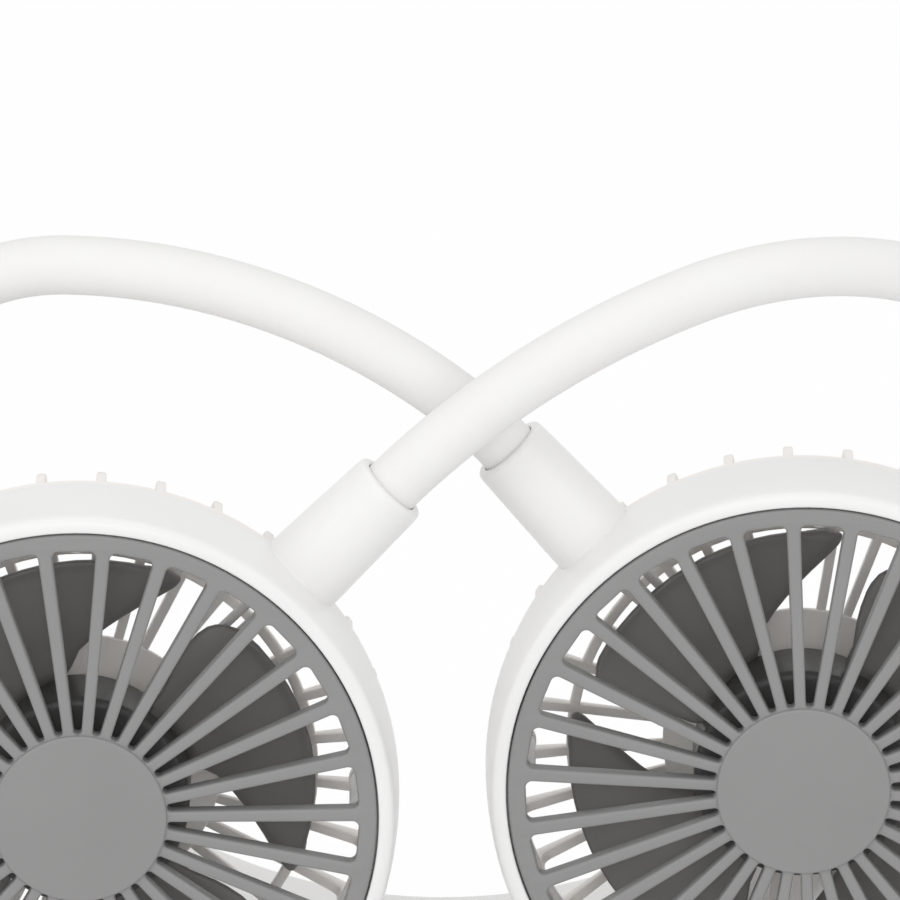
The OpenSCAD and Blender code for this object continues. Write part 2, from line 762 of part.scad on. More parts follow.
module floor_cut() {
  translate([-band_out_r, -band_w, -band_w]) cube([2 * band_out_r, 2 * band_w, band_w]);
}

// Openings for the port, light and button through the band's back side wall
module control_cuts() {
  at_band(board_a, band_mid_r) {
    translate([port_at, 0, 0]) rotate([-90, 0, 0]) linear_extrude(band_w) port_outline(fit_gap);
    rotate([-90, 0, 0]) cylinder(h = band_w, r = light_r + fit_gap);
    translate([button_at, 0, 0]) rotate([-90, 0, 0]) cylinder(h = band_w, r = button_r + fit_gap);
  }
}

module port_outline(gap) {
  square([port_w - port_h, port_h + 2 * gap], center = true);
  for (x = [-1, 1]) translate([x * (port_w - port_h) / 2, 0]) circle(port_h / 2 + gap);
}

module band_outer_shell() {
  color("white") difference() {
    union() {
      difference() {
        band_arc(-shell_a, shell_a) half_section(band_mid_r, band_out_r, band_w / 2, band_edge_r);
        band_arc(-shell_a - over, shell_a + over)
          half_section(band_mid_r - over, cavity_out_r, cavity_half_w, cavity_edge_r);
      }
      for (a = band_screw_a) at_band(a, cavity_out_r + band_wall / 2) translate([0, band_screw_y, 0])
        cylinder(h = cavity_out_r + band_wall / 2 - band_mid_r, r = band_boss_r);
    }
    floor_cut();
    control_cuts();
    for (a = band_screw_a) {
      at_band(a, band_out_r + over) translate([0, band_screw_y, 0]) cylinder(h = band_t, r = screw_r + screw_gap);
      at_band(a, band_out_r + over) translate([0, band_screw_y, 0])
        cylinder(h = over + screw_head_h + fit_gap, r = screw_head_r + fit_gap);
    }
  }
}

module band_inner_shell() {
  color("white") difference() {
    union() {
      difference() {
        band_arc(-shell_a, shell_a) half_section(band_mid_r, band_in_r, band_w / 2, band_edge_r);
        band_arc(-shell_a - over, shell_a + over)
          half_section(band_mid_r + over, cavity_in_r, cavity_half_w, cavity_edge_r);
      }
      for (a = band_screw_a) at_band(a, band_mid_r) translate([0, band_screw_y, 0])
        cylinder(h = band_mid_r - cavity_in_r + band_wall / 2, r = band_boss_r);
    }
    control_cuts();
    for (a = band_screw_a) at_band(a, band_mid_r + over) translate([0, band_screw_y, 0])
      cylinder(h = over + band_t / 4, r = screw_r + screw_gap);
  }
}

module band_screws() {
  color("silver") for (a = band_screw_a) at_band(a, band_out_r - screw_head_h - fit_gap / 2) translate([0, band_screw_y, 0]) {
    cylinder(h = band_t / 2 - screw_head_h + band_t / 4 - 2 * fit_gap, r = screw_r);
    translate([0, 0, -screw_head_h + fit_gap]) difference() {
      cylinder(h = screw_head_h - fit_gap, r = screw_head_r);
      for (turn = [0, 90]) rotate([0, 0, turn])
        translate([-0.6 * screw_head_r, -0.15 * screw_head_r, -over])
          cube([1.2 * screw_head_r, 0.3 * screw_head_r, over + screw_head_h / 2]);
    }
  }
}

// Cap that narrows from the band's section to the ball end
module arm_end_cap(s) {
  side = band_side[s];
  a0 = side > 0 ? shell_a : -band_end_a;
  a1 = side > 0 ? band_end_a : -shell_a;
  cap_len = 2 * band_mid_r * sin((band_end_a - shell_a) / 2);
  steps = 8;
  function half_w(t) = band_w / 2 - (band_w / 2 - cap_end_w / 2) * (1 - cos(180 * t)) / 2;
  shape = [for (k = [0:steps]) [cap_len * k / steps, half_w(k / steps)]];
  low = [for (k = [steps:-1:0]) [cap_len * k / steps, -half_w(k / steps)]];
  color("white") difference() {
    union() {
      intersection() {
        band_arc(a0, a1) {
          half_section(band_mid_r, band_out_r, band_w / 2, band_edge_r);
          half_section(band_mid_r, band_in_r, band_w / 2, band_edge_r);
        }
        at_band(side * (shell_a + band_end_a) / 2, band_out_r + band_t) mirror([side > 0 ? 0 : 1, 0, 0])
          translate([-cap_len / 2, 0, 0]) linear_extrude(3 * band_t)
            polygon(concat([[-over, band_w / 2]], shape, [[cap_len + over, cap_end_w / 2]],
              [[cap_len + over, -cap_end_w / 2]], low, [[-over, -band_w / 2]]));
      }
      translate(arm_foot(s)) sphere(ball_r);
    }
    at_foot(s) translate([0, 0, 0.55 * ball_r]) cylinder(h = ball_r, r = ball_r);
    at_foot(s) cylinder(h = ball_r + over, r = sheath_r + fit_gap);
    band_arc(side > 0 ? shell_a - over : -band_end_a, side > 0 ? band_end_a : over - shell_a)
      translate([band_mid_r, 0]) circle(sheath_bore_r);
  }
}

module battery_cell(side) {
  color("steelblue") at_band(side * cell_a, seat_r + cell_t)
    translate([-cell_len / 2, band_lead_y - 2 * lead_r - cell_w, 0]) cube([cell_len, cell_w, cell_t]);
}

module circuit_board() {
  color("darkgreen") at_band(board_a, seat_r + board_w)
    translate([-board_len / 2, board_y, 0]) cube([board_len, board_t, board_w]);
}

module power_switch() {
  color("black") at_band(board_a, band_mid_r) translate([button_at, board_y + board_t, 0]) {
    translate([-switch_w / 2, 0, -switch_w / 2]) cube([switch_w, switch_h, switch_w]);
    translate([0, switch_h - over, 0]) rotate([-90, 0, 0]) cylinder(h = over + run_gap, r = switch_w / 4);
  }
}

module power_button() {
  top = band_w / 2 + button_rise;
  skirt_y = cavity_half_w - button_skirt - run_gap / 2;
  stem_y = board_y + board_t + switch_h + run_gap + button_travel + run_gap / 2;
  color("gray") at_band(board_a, band_mid_r) translate([button_at, 0, 0]) rotate([-90, 0, 0]) {
    rotate_extrude() polygon([
      [0, stem_y],
      [button_r / 2, stem_y],
      [button_r / 2, skirt_y],
      [button_r + button_skirt, skirt_y],
      [button_r + button_skirt, skirt_y + button_skirt],
      [button_r - fit_gap, skirt_y + button_skirt],
      [button_r - fit_gap, top - button_rise / 2],
      [button_r - button_rise / 2, top],
      [0, top]
    ]);
  }
}

module indicator_light() {
  color("lightblue") at_band(board_a, band_mid_r) rotate([-90, 0, 0])
    disc_between(light_r, board_y + board_t, band_w / 2 + fit_gap);
}

module usb_port() {
  color("silver") at_band(board_a, band_mid_r) translate([port_at, board_y + board_t, 0]) rotate([-90, 0, 0]) {
    difference() {
      linear_extrude(port_len - fit_gap) port_outline(0);
      translate([0, 0, over / 2]) linear_extrude(port_len) port_outline(-2 * fit_gap);
    }
    translate([-0.35 * port_w, -port_h / 10, over / 4]) cube([0.7 * port_w, port_h / 5, port_len - over]);
  }
}

// Leads in the band: from the board to the arm beside it, and round past the cells to the other arm
function band_point(a, r, y) = on_band(a, r) + [0, y, 0];

module band_leads() {
  half_a = asin(board_len / 2 / band_mid_r);
  near_a = board_a - half_a;
  turn_a = near_a - asin(lead_run / band_mid_r);
  lift_a = -cell_a - asin((cell_len / 2 + lead_run) / band_mid_r);
  in_a = (band_end_a - shell_a) / 3;
  trim_a = asin(bead_trim / band_mid_r);
  color("gainsboro") for (k = [left, right]) {
    r = band_mid_r + head_side[k] * 2 * lead_r;
    side_y = lead_at[k][1];
    board_end_a = board_a - asin((board_len / 2 + run_gap) / r);
    board_mid_y = board_y + board_t / 2;
    band_arc(lift_a + trim_a, turn_a - trim_a) translate([r, -band_lead_y]) circle(lead_r);
    lead_path([
      band_point(turn_a, r, band_lead_y),
      band_point(board_end_a - asin(2 * bead_r / r), r, board_mid_y),
      band_point(board_end_a, r, board_mid_y)
    ], true);
    lead_path([
      band_point(lift_a, r, band_lead_y),
      band_point(-shell_a, band_mid_r, side_y),
      band_point(-shell_a - in_a, band_mid_r, side_y)
    ], true);
    lead_path([
      band_point(board_a + half_a / 2, r, board_y - fit_gap),
      band_point(board_a + half_a / 2, r, board_y - 2 * bead_r),
      band_point(shell_a, band_mid_r, side_y),
      band_point(shell_a + in_a, band_mid_r, side_y)
    ], false);
  }
}

// A lead drawn straight from point to point, with a bead at each bend and, where it is joined, at its start
module lead_path(points, joined) {
  last = len(points) - 1;
  for (i = [0:last - 1]) {
    d = points[i + 1] - points[i];
    start = i > 0 || joined ? bead_trim : 0;
    end = i + 1 < last ? bead_trim : 0;
    translate(points[i]) rotate([0, acos(d[2] / norm(d)), atan2(d[1], d[0])]) translate([0, 0, start])
      cylinder(h = norm(d) - start - end, r = lead_r);
    if (start > 0) translate(points[i]) sphere(bead_r, $fn = min($fn, 24));
  }
}

front_grille(left);  // left_front_grille
front_casing(left);  // left_front_casing
rear_shell(left);  // left_rear_shell
impeller(left);  // left_impeller
motor(left);  // left_motor
motor_shaft(left);  // left_motor_shaft
arm_socket(left);  // left_arm_socket
casing_screws(left);  // left_casing_screws
head_leads(left);  // left_head_leads
upper_flex(left);  // left_upper_flex
upper_spine(left);  // left_upper_spine
upper_leads(left);  // left_upper_leads
arm_sheath(left);  // left_arm_sheath
arm_spine(left);  // left_arm_spine
arm_leads(left);  // left_arm_leads
lower_flex(left);  // left_lower_flex
lower_spine(left);  // left_lower_spine
lower_leads(left);  // left_lower_leads
arm_boot(left);  // left_arm_boot
arm_end_cap(left);  // left_arm_end_cap
front_grille(right);  // right_front_grille
front_casing(right);  // right_front_casing
rear_shell(right);  // right_rear_shell
impeller(right);  // right_impeller
motor(right);  // right_motor
motor_shaft(right);  // right_motor_shaft
arm_socket(right);  // right_arm_socket
casing_screws(right);  // right_casing_screws
head_leads(right);  // right_head_leads
upper_flex(right);  // right_upper_flex
upper_spine(right);  // right_upper_spine
upper_leads(right);  // right_upper_leads
arm_sheath(right);  // right_arm_sheath
arm_spine(right);  // right_arm_spine
arm_leads(right);  // right_arm_leads
lower_flex(right);  // right_lower_flex
lower_spine(right);  // right_lower_spine
lower_leads(right);  // right_lower_leads
arm_boot(right);  // right_arm_boot
arm_end_cap(right);  // right_arm_end_cap
band_outer_shell();
band_inner_shell();
battery_cell(-1);  // left_battery_cell
battery_cell(1);  // right_battery_cell
circuit_board();
power_switch();
power_button();
indicator_light();
usb_port();
band_leads();
band_screws();
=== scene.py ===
import math

import bmesh
import bpy
from mathutils import Matrix, Vector


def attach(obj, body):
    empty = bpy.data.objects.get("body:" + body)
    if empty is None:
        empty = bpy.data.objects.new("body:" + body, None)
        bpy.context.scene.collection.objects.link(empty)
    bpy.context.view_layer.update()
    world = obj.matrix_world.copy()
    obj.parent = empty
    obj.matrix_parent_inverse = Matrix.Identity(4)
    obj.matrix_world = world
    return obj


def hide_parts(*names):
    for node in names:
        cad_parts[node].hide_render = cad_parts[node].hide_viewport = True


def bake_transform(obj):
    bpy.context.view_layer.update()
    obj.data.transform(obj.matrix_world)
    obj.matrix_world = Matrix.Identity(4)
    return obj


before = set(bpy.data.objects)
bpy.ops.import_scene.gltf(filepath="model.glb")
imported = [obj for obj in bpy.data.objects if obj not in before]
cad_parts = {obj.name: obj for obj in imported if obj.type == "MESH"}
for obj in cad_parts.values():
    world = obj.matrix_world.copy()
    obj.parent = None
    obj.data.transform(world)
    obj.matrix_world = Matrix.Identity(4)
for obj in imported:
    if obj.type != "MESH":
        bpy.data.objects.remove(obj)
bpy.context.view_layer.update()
print("frame loaded:", len(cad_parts), "nodes")

# Shapes are written in millimetres in their own frames, then placed in metres
mm = 0.001
toMetres = Matrix.Scale(mm, 4)
headSides = {"left": -1, "right": 1}

stance = {
    "spread": 54.75,       # half the distance between the head centres
    "lead": 57,            # left grille face in front of the band's middle
    "step": 12.7,          # the right head stands this much further back
    "casingR": 48.2,       # the heads rest on their casings
}

photo = {
    "elevation": 17.5,
    "aim": (1.125, -50.0, 104.25),
    "distance": 2.0,       # metres from the camera to there
    "framed": 135.0,       # what the picture's width takes in there
    "sensor": 36.0,
    "clip": (0.05, 60),    # metres
}


def makeCamera():
    tilt = math.radians(photo["elevation"])
    back = Vector((0, -math.cos(tilt), math.sin(tilt)))
    camera = bpy.data.objects.new("camera", bpy.data.cameras.new("camera"))
    camera.data.sensor_width = photo["sensor"]
    camera.data.lens = photo["sensor"] * photo["distance"] / (photo["framed"] * mm)
    camera.data.clip_start, camera.data.clip_end = photo["clip"]
    camera.location = Vector(photo["aim"]) * mm + back * photo["distance"]
    camera.rotation_mode = "QUATERNION"
    camera.rotation_quaternion = (-back).to_track_quat("-Z", "Y")
    bpy.context.scene.collection.objects.link(camera)
    bpy.context.scene.camera = camera


makeCamera()
print("camera set")


# Shader sums: a number that changes over the surface, with the usual operators
class Amount:
    def __init__(self, finish, socket):
        self.finish = finish
        self.socket = socket

    def maths(self, operation, first, second):
        return self.finish.amount("ShaderNodeMath", {"operation": operation}, {0: first, 1: second})

    def __add__(self, other):
        return self.maths("ADD", self, other)

    def __radd__(self, other):
        return self.maths("ADD", other, self)

    def __mul__(self, other):
        return self.maths("MULTIPLY", self, other)

    def __rmul__(self, other):
        return self.maths("MULTIPLY", other, self)


class Finish:
    def __init__(self, name, owner=None):
        self.material = owner or bpy.data.materials.new(name)
        self.material.use_nodes = True
        self.tree = self.material.node_tree
        self.tree.nodes.clear()
        self.place = self.add("ShaderNodeTexCoord", {}, {}).outputs["Object"]

    def add(self, kind, settings, values):
        node = self.tree.nodes.new(kind)
        for key, value in settings.items():
            setattr(node, key, value)
        for key, value in values.items():
            source = value.socket if isinstance(value, Amount) else value
            if isinstance(source, bpy.types.NodeSocket):
                self.tree.links.new(source, node.inputs[key])
            else:
                node.inputs[key].default_value = source
        return node

    def amount(self, kind, settings, values, output=0):
        return Amount(self, self.add(kind, settings, values).outputs[output])

    def noise(self, size, detail=2.0, roughness=0.5):
        values = {"Vector": self.place, "Scale": 1 / (size * mm), "Detail": detail, "Roughness": roughness}
        return self.amount("ShaderNodeTexNoise", {"noise_dimensions": "3D"}, values)

    def spread(self, amount, low, high, out0=0.0, out1=1.0):
        values = {"Value": amount, "From Min": low, "From Max": high, "To Min": out0, "To Max": out1}
        return self.amount("ShaderNodeMapRange", {"clamp": True}, values)

    # The Mix node keeps its colour sockets after those for numbers and vectors
    def blendColours(self, factor, first, second):
        return self.amount("ShaderNodeMix", {"data_type": "RGBA"}, {0: factor, 6: first, 7: second}, output=2)

    def bump(self, height, depth, strength=1.0):
        values = {"Height": height, "Distance": depth * mm, "Strength": strength}
        return self.amount("ShaderNodeBump", {}, values)

    def surface(self, values):
        shader = self.add("ShaderNodeBsdfPrincipled", {}, values)
        output = self.add("ShaderNodeOutputMaterial", {}, {"Surface": shader.outputs[0]})
        output.is_active_output = True
        return self.material


def tone(level, warm=0.0):
    return (level * (1 + warm), level, level * (1 - warm), 1)


noiseRange = (0.3, 0.7)    # where nearly all of a noise's values lie

plastics = {
    # colour level, warmth, how far the level drifts, grain size, grain depth, roughness
    "casing_white": (0.845, 0.006, 0.012, 0.35, 0.006, 0.34),
    # Whiter and warmer than the casing's white: the higher level is painted light for the shaded inside of the
    # head, the beige warmth is painted shade on its ribs and disc
    "back_white_painted_light_and_shade": (0.87, 0.035, 0.015, 0.35, 0.006, 0.40),
    "boot_white": (0.80, 0.004, 0.015, 0.30, 0.010, 0.55),
    "grille_grey": (0.265, 0.004, 0.03, 0.28, 0.012, 0.42),
    "button_grey": (0.30, 0.004, 0.03, 0.25, 0.008, 0.40),
    "impeller_charcoal": (0.18, 0.035, 0.05, 0.50, 0.006, 0.36),
    # The hub is darker than the blades: partly its own darker charcoal, partly painted shade from the grille's
    # hub disc in front of it
    "hub_charcoal_and_painted_shade": (0.07, 0.02, 0.05, 0.50, 0.006, 0.40),
    "switch_black": (0.02, 0.0, 0.1, 0.20, 0.006, 0.45),
}


moulding = {
    "cloudSize": 14,
    "cloudShare": 0.7,
    "palest": 0.95,
    "glossier": 0.05,
    "duller": 0.07,
    "specular": 0.45,
}


def plasticFinish(name):
    level, warm, drift, grain, depth, rough = plastics[name]
    m = moulding
    finish = Finish(name)
    cloud = finish.noise(m["cloudSize"], 3.0)
    fine = finish.noise(grain, 2.0, 0.6)
    low = tone(level * (1 - drift), warm)
    high = tone(min(level * (1 + drift), m["palest"]), warm)
    mixed = finish.spread(cloud * m["cloudShare"] + fine * 0.3, *noiseRange)
    return finish.surface({
        "Base Color": finish.blendColours(mixed, low, high),
        "Roughness": finish.spread(cloud + 0.4 * fine, 0.4, 1.0, rough - m["glossier"], rough + m["duller"]),
        "Normal": finish.bump(fine, depth, 0.5),
        "Specular IOR Level": m["specular"],
    })


silicone = {
    "light": tone(0.845, 0.006),
    "dim": tone(0.845 * 0.985, 0.009),
    "speck": tone(0.55, 0.01),
    "speckSize": 0.9,
    "speckRange": (0.62, 0.8),    # only the noise's peaks make specks
    "speckDepth": 0.05,
    "lumpSize": 6.0,
    "grain": 0.25,
    "rough": (0.50, 0.64),
    "bumpDepth": 0.10,
    "specular": 0.35,
    "sheen": 0.08,
}


# Soft rubbery tube: faint grey speckle and slow unevenness from the mould
def siliconeFinish():
    c = silicone
    finish = Finish("sheath_silicone")
    specks = finish.noise(c["speckSize"], 4.0, 0.65)
    lumps = finish.noise(c["lumpSize"], 2.0)
    fine = finish.noise(c["grain"], 2.0)
    speck = finish.spread(specks, *c["speckRange"])
    light = finish.blendColours(finish.spread(lumps, *noiseRange), c["dim"], c["light"])
    return finish.surface({
        "Base Color": finish.blendColours(speck * c["speckDepth"], light, c["speck"]),
        "Roughness": finish.spread(lumps + 0.5 * fine, 0.45, 1.0, *c["rough"]),
        "Normal": finish.bump(lumps * 0.6 + fine * 0.15, c["bumpDepth"], 0.35),
        "Specular IOR Level": c["specular"],
        "Sheen Weight": c["sheen"],
    })


metals = {
    # colour, grain size, roughness
    "steel": ((0.60, 0.60, 0.61, 1), 0.5, 0.28),
    "motor_can": ((0.52, 0.52, 0.50, 1), 1.2, 0.36),
    "port_shell": ((0.62, 0.62, 0.63, 1), 0.6, 0.24),
}


def metalFinish(name):
    colour, size, rough = metals[name]
    finish = Finish(name)
    cloud = finish.noise(6, 3.0)
    fine = finish.noise(size, 4.0, 0.7)
    dark = tuple(0.82 * part for part in colour[:3]) + (1,)
    return finish.surface({
        "Base Color": finish.blendColours(finish.spread(cloud, 0.3, 0.75), dark, colour),
        "Roughness": finish.spread(fine, *noiseRange, rough - 0.08, rough + 0.12),
        "Normal": finish.bump(fine, 0.01, 0.4),
        "Metallic": 1.0,
    })


insulation = {"dusty": tone(0.74, 0.02), "clean": tone(0.80, 0.01), "rough": (0.38, 0.55)}


# White insulation with a matt, slightly dusty skin
def leadFinish():
    finish = Finish("lead_insulation")
    cloud = finish.noise(5, 3.0)
    fine = finish.noise(0.3, 2.0)
    dust = finish.spread(cloud, *noiseRange)
    return finish.surface({
        "Base Color": finish.blendColours(dust, insulation["dusty"], insulation["clean"]),
        "Roughness": finish.spread(fine, *noiseRange, *insulation["rough"]),
        "Normal": finish.bump(fine, 0.01, 0.4),
    })


wrap = {"deep": (0.05, 0.12, 0.30, 1), "blue": (0.07, 0.17, 0.38, 1), "rough": (0.20, 0.34), "coat": 0.3}


# Heat-shrunk wrap of the cells: blue film with fine creases
def wrapFinish():
    finish = Finish("cell_wrap")
    creases = finish.amount(
        "ShaderNodeTexWave", {"wave_type": "BANDS"},
        {"Vector": finish.place, "Scale": 260.0, "Distortion": 9.0, "Detail": 3.0},
    )
    cloud = finish.spread(finish.noise(9, 3.0), *noiseRange)
    return finish.surface({
        "Base Color": finish.blendColours(cloud, wrap["deep"], wrap["blue"]),
        "Roughness": finish.spread(creases, 0.0, 1.0, *wrap["rough"]),
        "Normal": finish.bump(creases, 0.03, 0.4),
        "Coat Weight": wrap["coat"],
    })


board = {
    "mask": (0.012, 0.085, 0.035, 1),
    "line": (0.03, 0.16, 0.06, 1),
    "pad": (0.55, 0.50, 0.36, 1),
    "padMetal": 0.9,
    "rough": (0.28, 0.38),
}


# Solder mask with copper lines under it and a few pads
def boardFinish():
    finish = Finish("board_green")
    lines = finish.amount(
        "ShaderNodeTexBrick", {"offset": 0.35},
        {"Vector": finish.place, "Scale": 240.0, "Mortar Size": 0.04, "Brick Width": 1.4, "Row Height": 0.5},
        output="Fac",
    )
    spots = finish.amount("ShaderNodeTexVoronoi", {}, {"Vector": finish.place, "Scale": 420.0}, output="Distance")
    pad = finish.spread(spots, 0.16, 0.12)
    mask = finish.blendColours(lines, board["mask"], board["line"])
    return finish.surface({
        "Base Color": finish.blendColours(pad, mask, board["pad"]),
        "Roughness": finish.spread(lines, 0.0, 1.0, *board["rough"]),
        "Metallic": pad * board["padMetal"],
        "Normal": finish.bump(lines + pad, 0.03, 0.5),
    })


lens = {"grey": (0.62, 0.70, 0.74, 1), "pale": (0.72, 0.78, 0.80, 1), "rough": (0.16, 0.26), "coat": 0.4}


# Frosted lens of the light
def lensFinish():
    finish = Finish("light_lens")
    cloud = finish.noise(0.8, 2.0)
    frost = finish.spread(cloud, *noiseRange)
    return finish.surface({
        "Base Color": finish.blendColours(frost, lens["grey"], lens["pale"]),
        "Roughness": finish.spread(cloud, *noiseRange, *lens["rough"]),
        "Normal": finish.bump(cloud, 0.01, 0.3),
        "Coat Weight": lens["coat"],
    })


finishes = {name: plasticFinish(name) for name in plastics}
finishes.update({name: metalFinish(name) for name in metals})
finishes["sheath_silicone"] = siliconeFinish()
finishes["lead_insulation"] = leadFinish()
finishes["cell_wrap"] = wrapFinish()
finishes["board_green"] = boardFinish()
finishes["light_lens"] = lensFinish()
print("finishes made:", len(finishes))


# Makes an outline's corners round: each corner is x, y and how far back along its sides the curve starts
def softened(corners, closed=True, steps=5):
    points = []
    for index, (x, y, radius) in enumerate(corners):
        here = Vector((x, y))
        isEnd = not closed and index in (0, len(corners) - 1)
        if radius == 0 or isEnd:
            points.append(here)
            continue
        before = Vector(corners[index - 1][:2]) - here
        after = Vector(corners[(index + 1) % len(corners)][:2]) - here
        start = here + before.normalized() * min(radius, before.length / 2)
        end = here + after.normalized() * min(radius, after.length / 2)
        for step in range(steps + 1):
            share = step / steps
            points.append(start.lerp(here, share).lerp(here.lerp(end, share), share))
    return points


# Lists without doubles, in a fixed order
def edgesOf(verts):
    return list(dict.fromkeys(edge for vert in verts for edge in vert.link_edges))


def vertsOf(parts):
    return list(dict.fromkeys(vert for part in parts for vert in part.verts))


# Turns an outline of radius, height and rounding round the z axis
def addSpun(mesh, corners, closed=True, steps=96):
    outline = softened(corners, closed)
    verts = [mesh.verts.new((point.x, 0, point.y)) for point in outline]
    pairs = list(zip(verts, verts[1:])) + ([(verts[-1], verts[0])] if closed else [])
    edges = [mesh.edges.new(pair) for pair in pairs]
    bmesh.ops.spin(
        mesh, geom=verts + edges, cent=(0, 0, 0), axis=(0, 0, 1), angle=math.tau, steps=steps, use_merge=True)


# Pushes a flat outline to a thickness, and rounds its edges a little
def addPlate(mesh, outline, thickness, edgeR):
    face = mesh.faces.new([mesh.verts.new((x, y, -thickness / 2)) for x, y in outline])
    grown = bmesh.ops.extrude_face_region(mesh, geom=[face], use_keep_orig=True)
    top = [item for item in grown["geom"] if isinstance(item, bmesh.types.BMVert)]
    bmesh.ops.translate(mesh, verts=top, vec=(0, 0, thickness))
    verts = list(face.verts) + top
    roundEdges(mesh, edgesOf(verts), edgeR)


def roundEdges(mesh, edges, radius, segments=2):
    bmesh.ops.bevel(mesh, geom=edges, offset=radius, segments=segments, profile=0.5, affect="EDGES", material=-1)


# Repeats the whole mesh round the z axis
def repeatRound(mesh, count):
    bmesh.ops.spin(
        mesh, geom=list(mesh.verts) + list(mesh.edges) + list(mesh.faces), cent=(0, 0, 0), axis=(0, 0, 1),
        angle=math.tau / count * (count - 1), steps=count - 1, use_duplicate=True)


def addCylinder(mesh, radius, length, place, segments=24):
    made = bmesh.ops.create_cone(
        mesh, cap_ends=True, segments=segments, radius1=radius, radius2=radius, depth=length, matrix=place)
    return made["verts"]


weldGap = 0.0005           # millimetres between points that are one


# Turns each body's faces outwards. Blender judges a body by its farthest face, which misleads on a bent one
# such as a rib, so a body whose volume comes out negative is turned over
def turnOutwards(mesh):
    bmesh.ops.recalc_face_normals(mesh, faces=mesh.faces)
    mesh.normal_update()
    waiting = dict.fromkeys(mesh.faces)
    while waiting:
        body = [waiting.popitem()[0]]
        for face in body:
            for edge in face.edges:
                for other in edge.link_faces:
                    if other in waiting:
                        waiting.pop(other)
                        body.append(other)
        if sum(face.calc_area() * face.normal.dot(face.calc_center_median()) for face in body) < 0:
            bmesh.ops.reverse_faces(mesh, faces=body)


# Merges, turns faces outwards, places the mesh in metres and makes its object
def finishPiece(name, mesh, place, finish, sharp=38):
    bmesh.ops.remove_doubles(mesh, verts=mesh.verts, dist=weldGap)
    turnOutwards(mesh)
    bmesh.ops.transform(mesh, matrix=place @ toMetres, verts=mesh.verts)
    data = bpy.data.meshes.new(name)
    mesh.to_mesh(data)
    mesh.free()
    return makeObject(name, data, finish, sharp)


def makeObject(name, data, finish, sharp):
    data.materials.clear()
    data.materials.append(finishes[finish])
    data.shade_smooth()
    data.set_sharp_from_angle(angle=math.radians(sharp))    # edges that bend less shade smoothly
    piece = bpy.data.objects.new(name, data)
    bpy.context.scene.collection.objects.link(piece)
    return piece


def headCentre(side):
    y = -stance["lead"] + (stance["step"] if side == "right" else 0)
    return Vector((headSides[side] * stance["spread"], y, stance["casingR"]))


# A head's own frame: x right, y up, z out of the grille
def headPlace(side, turn=0.0):
    faceOut = Matrix.Rotation(math.radians(90), 4, "X")
    return Matrix.Translation(headCentre(side) * mm) @ faceOut @ Matrix.Rotation(math.radians(turn), 4, "Z")


# Heights in a head count from the grille's face, backwards below zero
casing = {
    "lipR": 45.15,
    "lipRise": 0.35,
    "lipEdge": (46.2, 0.5),                                # radius and rounding of the lip's outer edge
    "brow": ((47.6, -0.1, 1.6), (47.9, -3.4, 2.0)),        # how the lip turns into the side
    "outR": 48.2,
    "sideFrom": -9.5,
    "sideTo": -14.5,
    "inR": 45.8,
    "rimR": 47.9,
    "depth": 16.5,
    "seatDepth": 2.8,                                      # the grille sits this deep
    "ledgeR": 43.15,
    "ledge": 1.6,
    "ledgeRamp": 2.0,
    "postR": 2.2,
    "postRing": 42.83,
    "postTurns": (45, 135, 225, 315),
    "postEdge": 0.25,
    "steps": 144,
}


def frontCasing(side):
    c = casing
    ledgeBack = -c["seatDepth"] - c["ledge"]
    mesh = bmesh.new()
    addSpun(mesh, [
        (c["lipR"], -c["seatDepth"], 0),
        (c["lipR"], c["lipRise"] - 0.05, 0.5),
        (c["lipEdge"][0], c["lipRise"], c["lipEdge"][1]),
        *c["brow"],
        (c["outR"], c["sideFrom"], 4.0),
        (c["outR"], c["sideTo"], 2.0),
        (c["rimR"], -c["depth"], 0.4),
        (c["inR"], -c["depth"], 0.2),
        (c["inR"], ledgeBack - c["ledgeRamp"], 0.6),
        (c["ledgeR"], ledgeBack, 0.2),
        (c["ledgeR"], -c["seatDepth"], 0.2),
    ], steps=c["steps"])
    length = c["depth"] + ledgeBack
    for turn in c["postTurns"]:
        place = Matrix.Rotation(math.radians(turn), 4, "Z")
        place = place @ Matrix.Translation((c["postRing"], 0, length / 2 - c["depth"]))
        post = addCylinder(mesh, c["postR"], length, place)
        foot = [vert for vert in post if abs(vert.co.z + c["depth"]) < 0.01]
        rim = [edge for edge in edgesOf(foot) if all(vert in foot for vert in edge.verts)]
        roundEdges(mesh, rim, c["postEdge"])
    piece = finishPiece(side + "_casing_shell", mesh, headPlace(side, arms[side]["socket"]), "casing_white")
    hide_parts(side + "_front_casing")
    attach(piece, side + "_head")


grille = {
    "outR": 44.88,
    "rimSteps": 180,
    "ringW": 2.78,
    "thickness": 2.8,
    "edge": 0.45,
    "hubR": 13.2,
    "hubRise": 0.5,
    "hubEdge": 0.45,
    "hubDepth": 2.52,
    "hubSteps": 120,
    "slotFrom": 13.3,
    "spokes": 30,
    "spokeIn": 1.6,            # a spoke's width at the hub
    "spokeOut": 2.3,           # and at the ring
    "cornerR": 1.0,
    "endSteps": 8,
    "cornerSteps": 6,
    "phase": {"left": 0.7, "right": 8.5},      # degrees that the spokes are turned
}


def arcPoints(x, y, radius, fromAngle, toAngle, steps):
    turns = [math.radians(fromAngle + (toAngle - fromAngle) * step / steps) for step in range(steps + 1)]
    return [(x + radius * math.cos(turn), y + radius * math.sin(turn)) for turn in turns]


# The outline of one slot: a round inner end and two rounded outer corners
def grilleSlot():
    g = grille
    half = math.radians(180 / g["spokes"])
    fromR, toR, corner = g["slotFrom"], g["outR"] - g["ringW"], g["cornerR"]
    tipR = fromR * math.sin(half) - g["spokeIn"] / 2
    endHalf = toR * math.sin(half) - g["spokeOut"] / 2
    return (
        arcPoints(fromR + tipR, 0, tipR, 90, 270, g["endSteps"])
        + arcPoints(toR - corner, corner - endHalf, corner, 270, 360, g["cornerSteps"])
        + arcPoints(toR - corner, endHalf - corner, corner, 0, 90, g["cornerSteps"])
    )


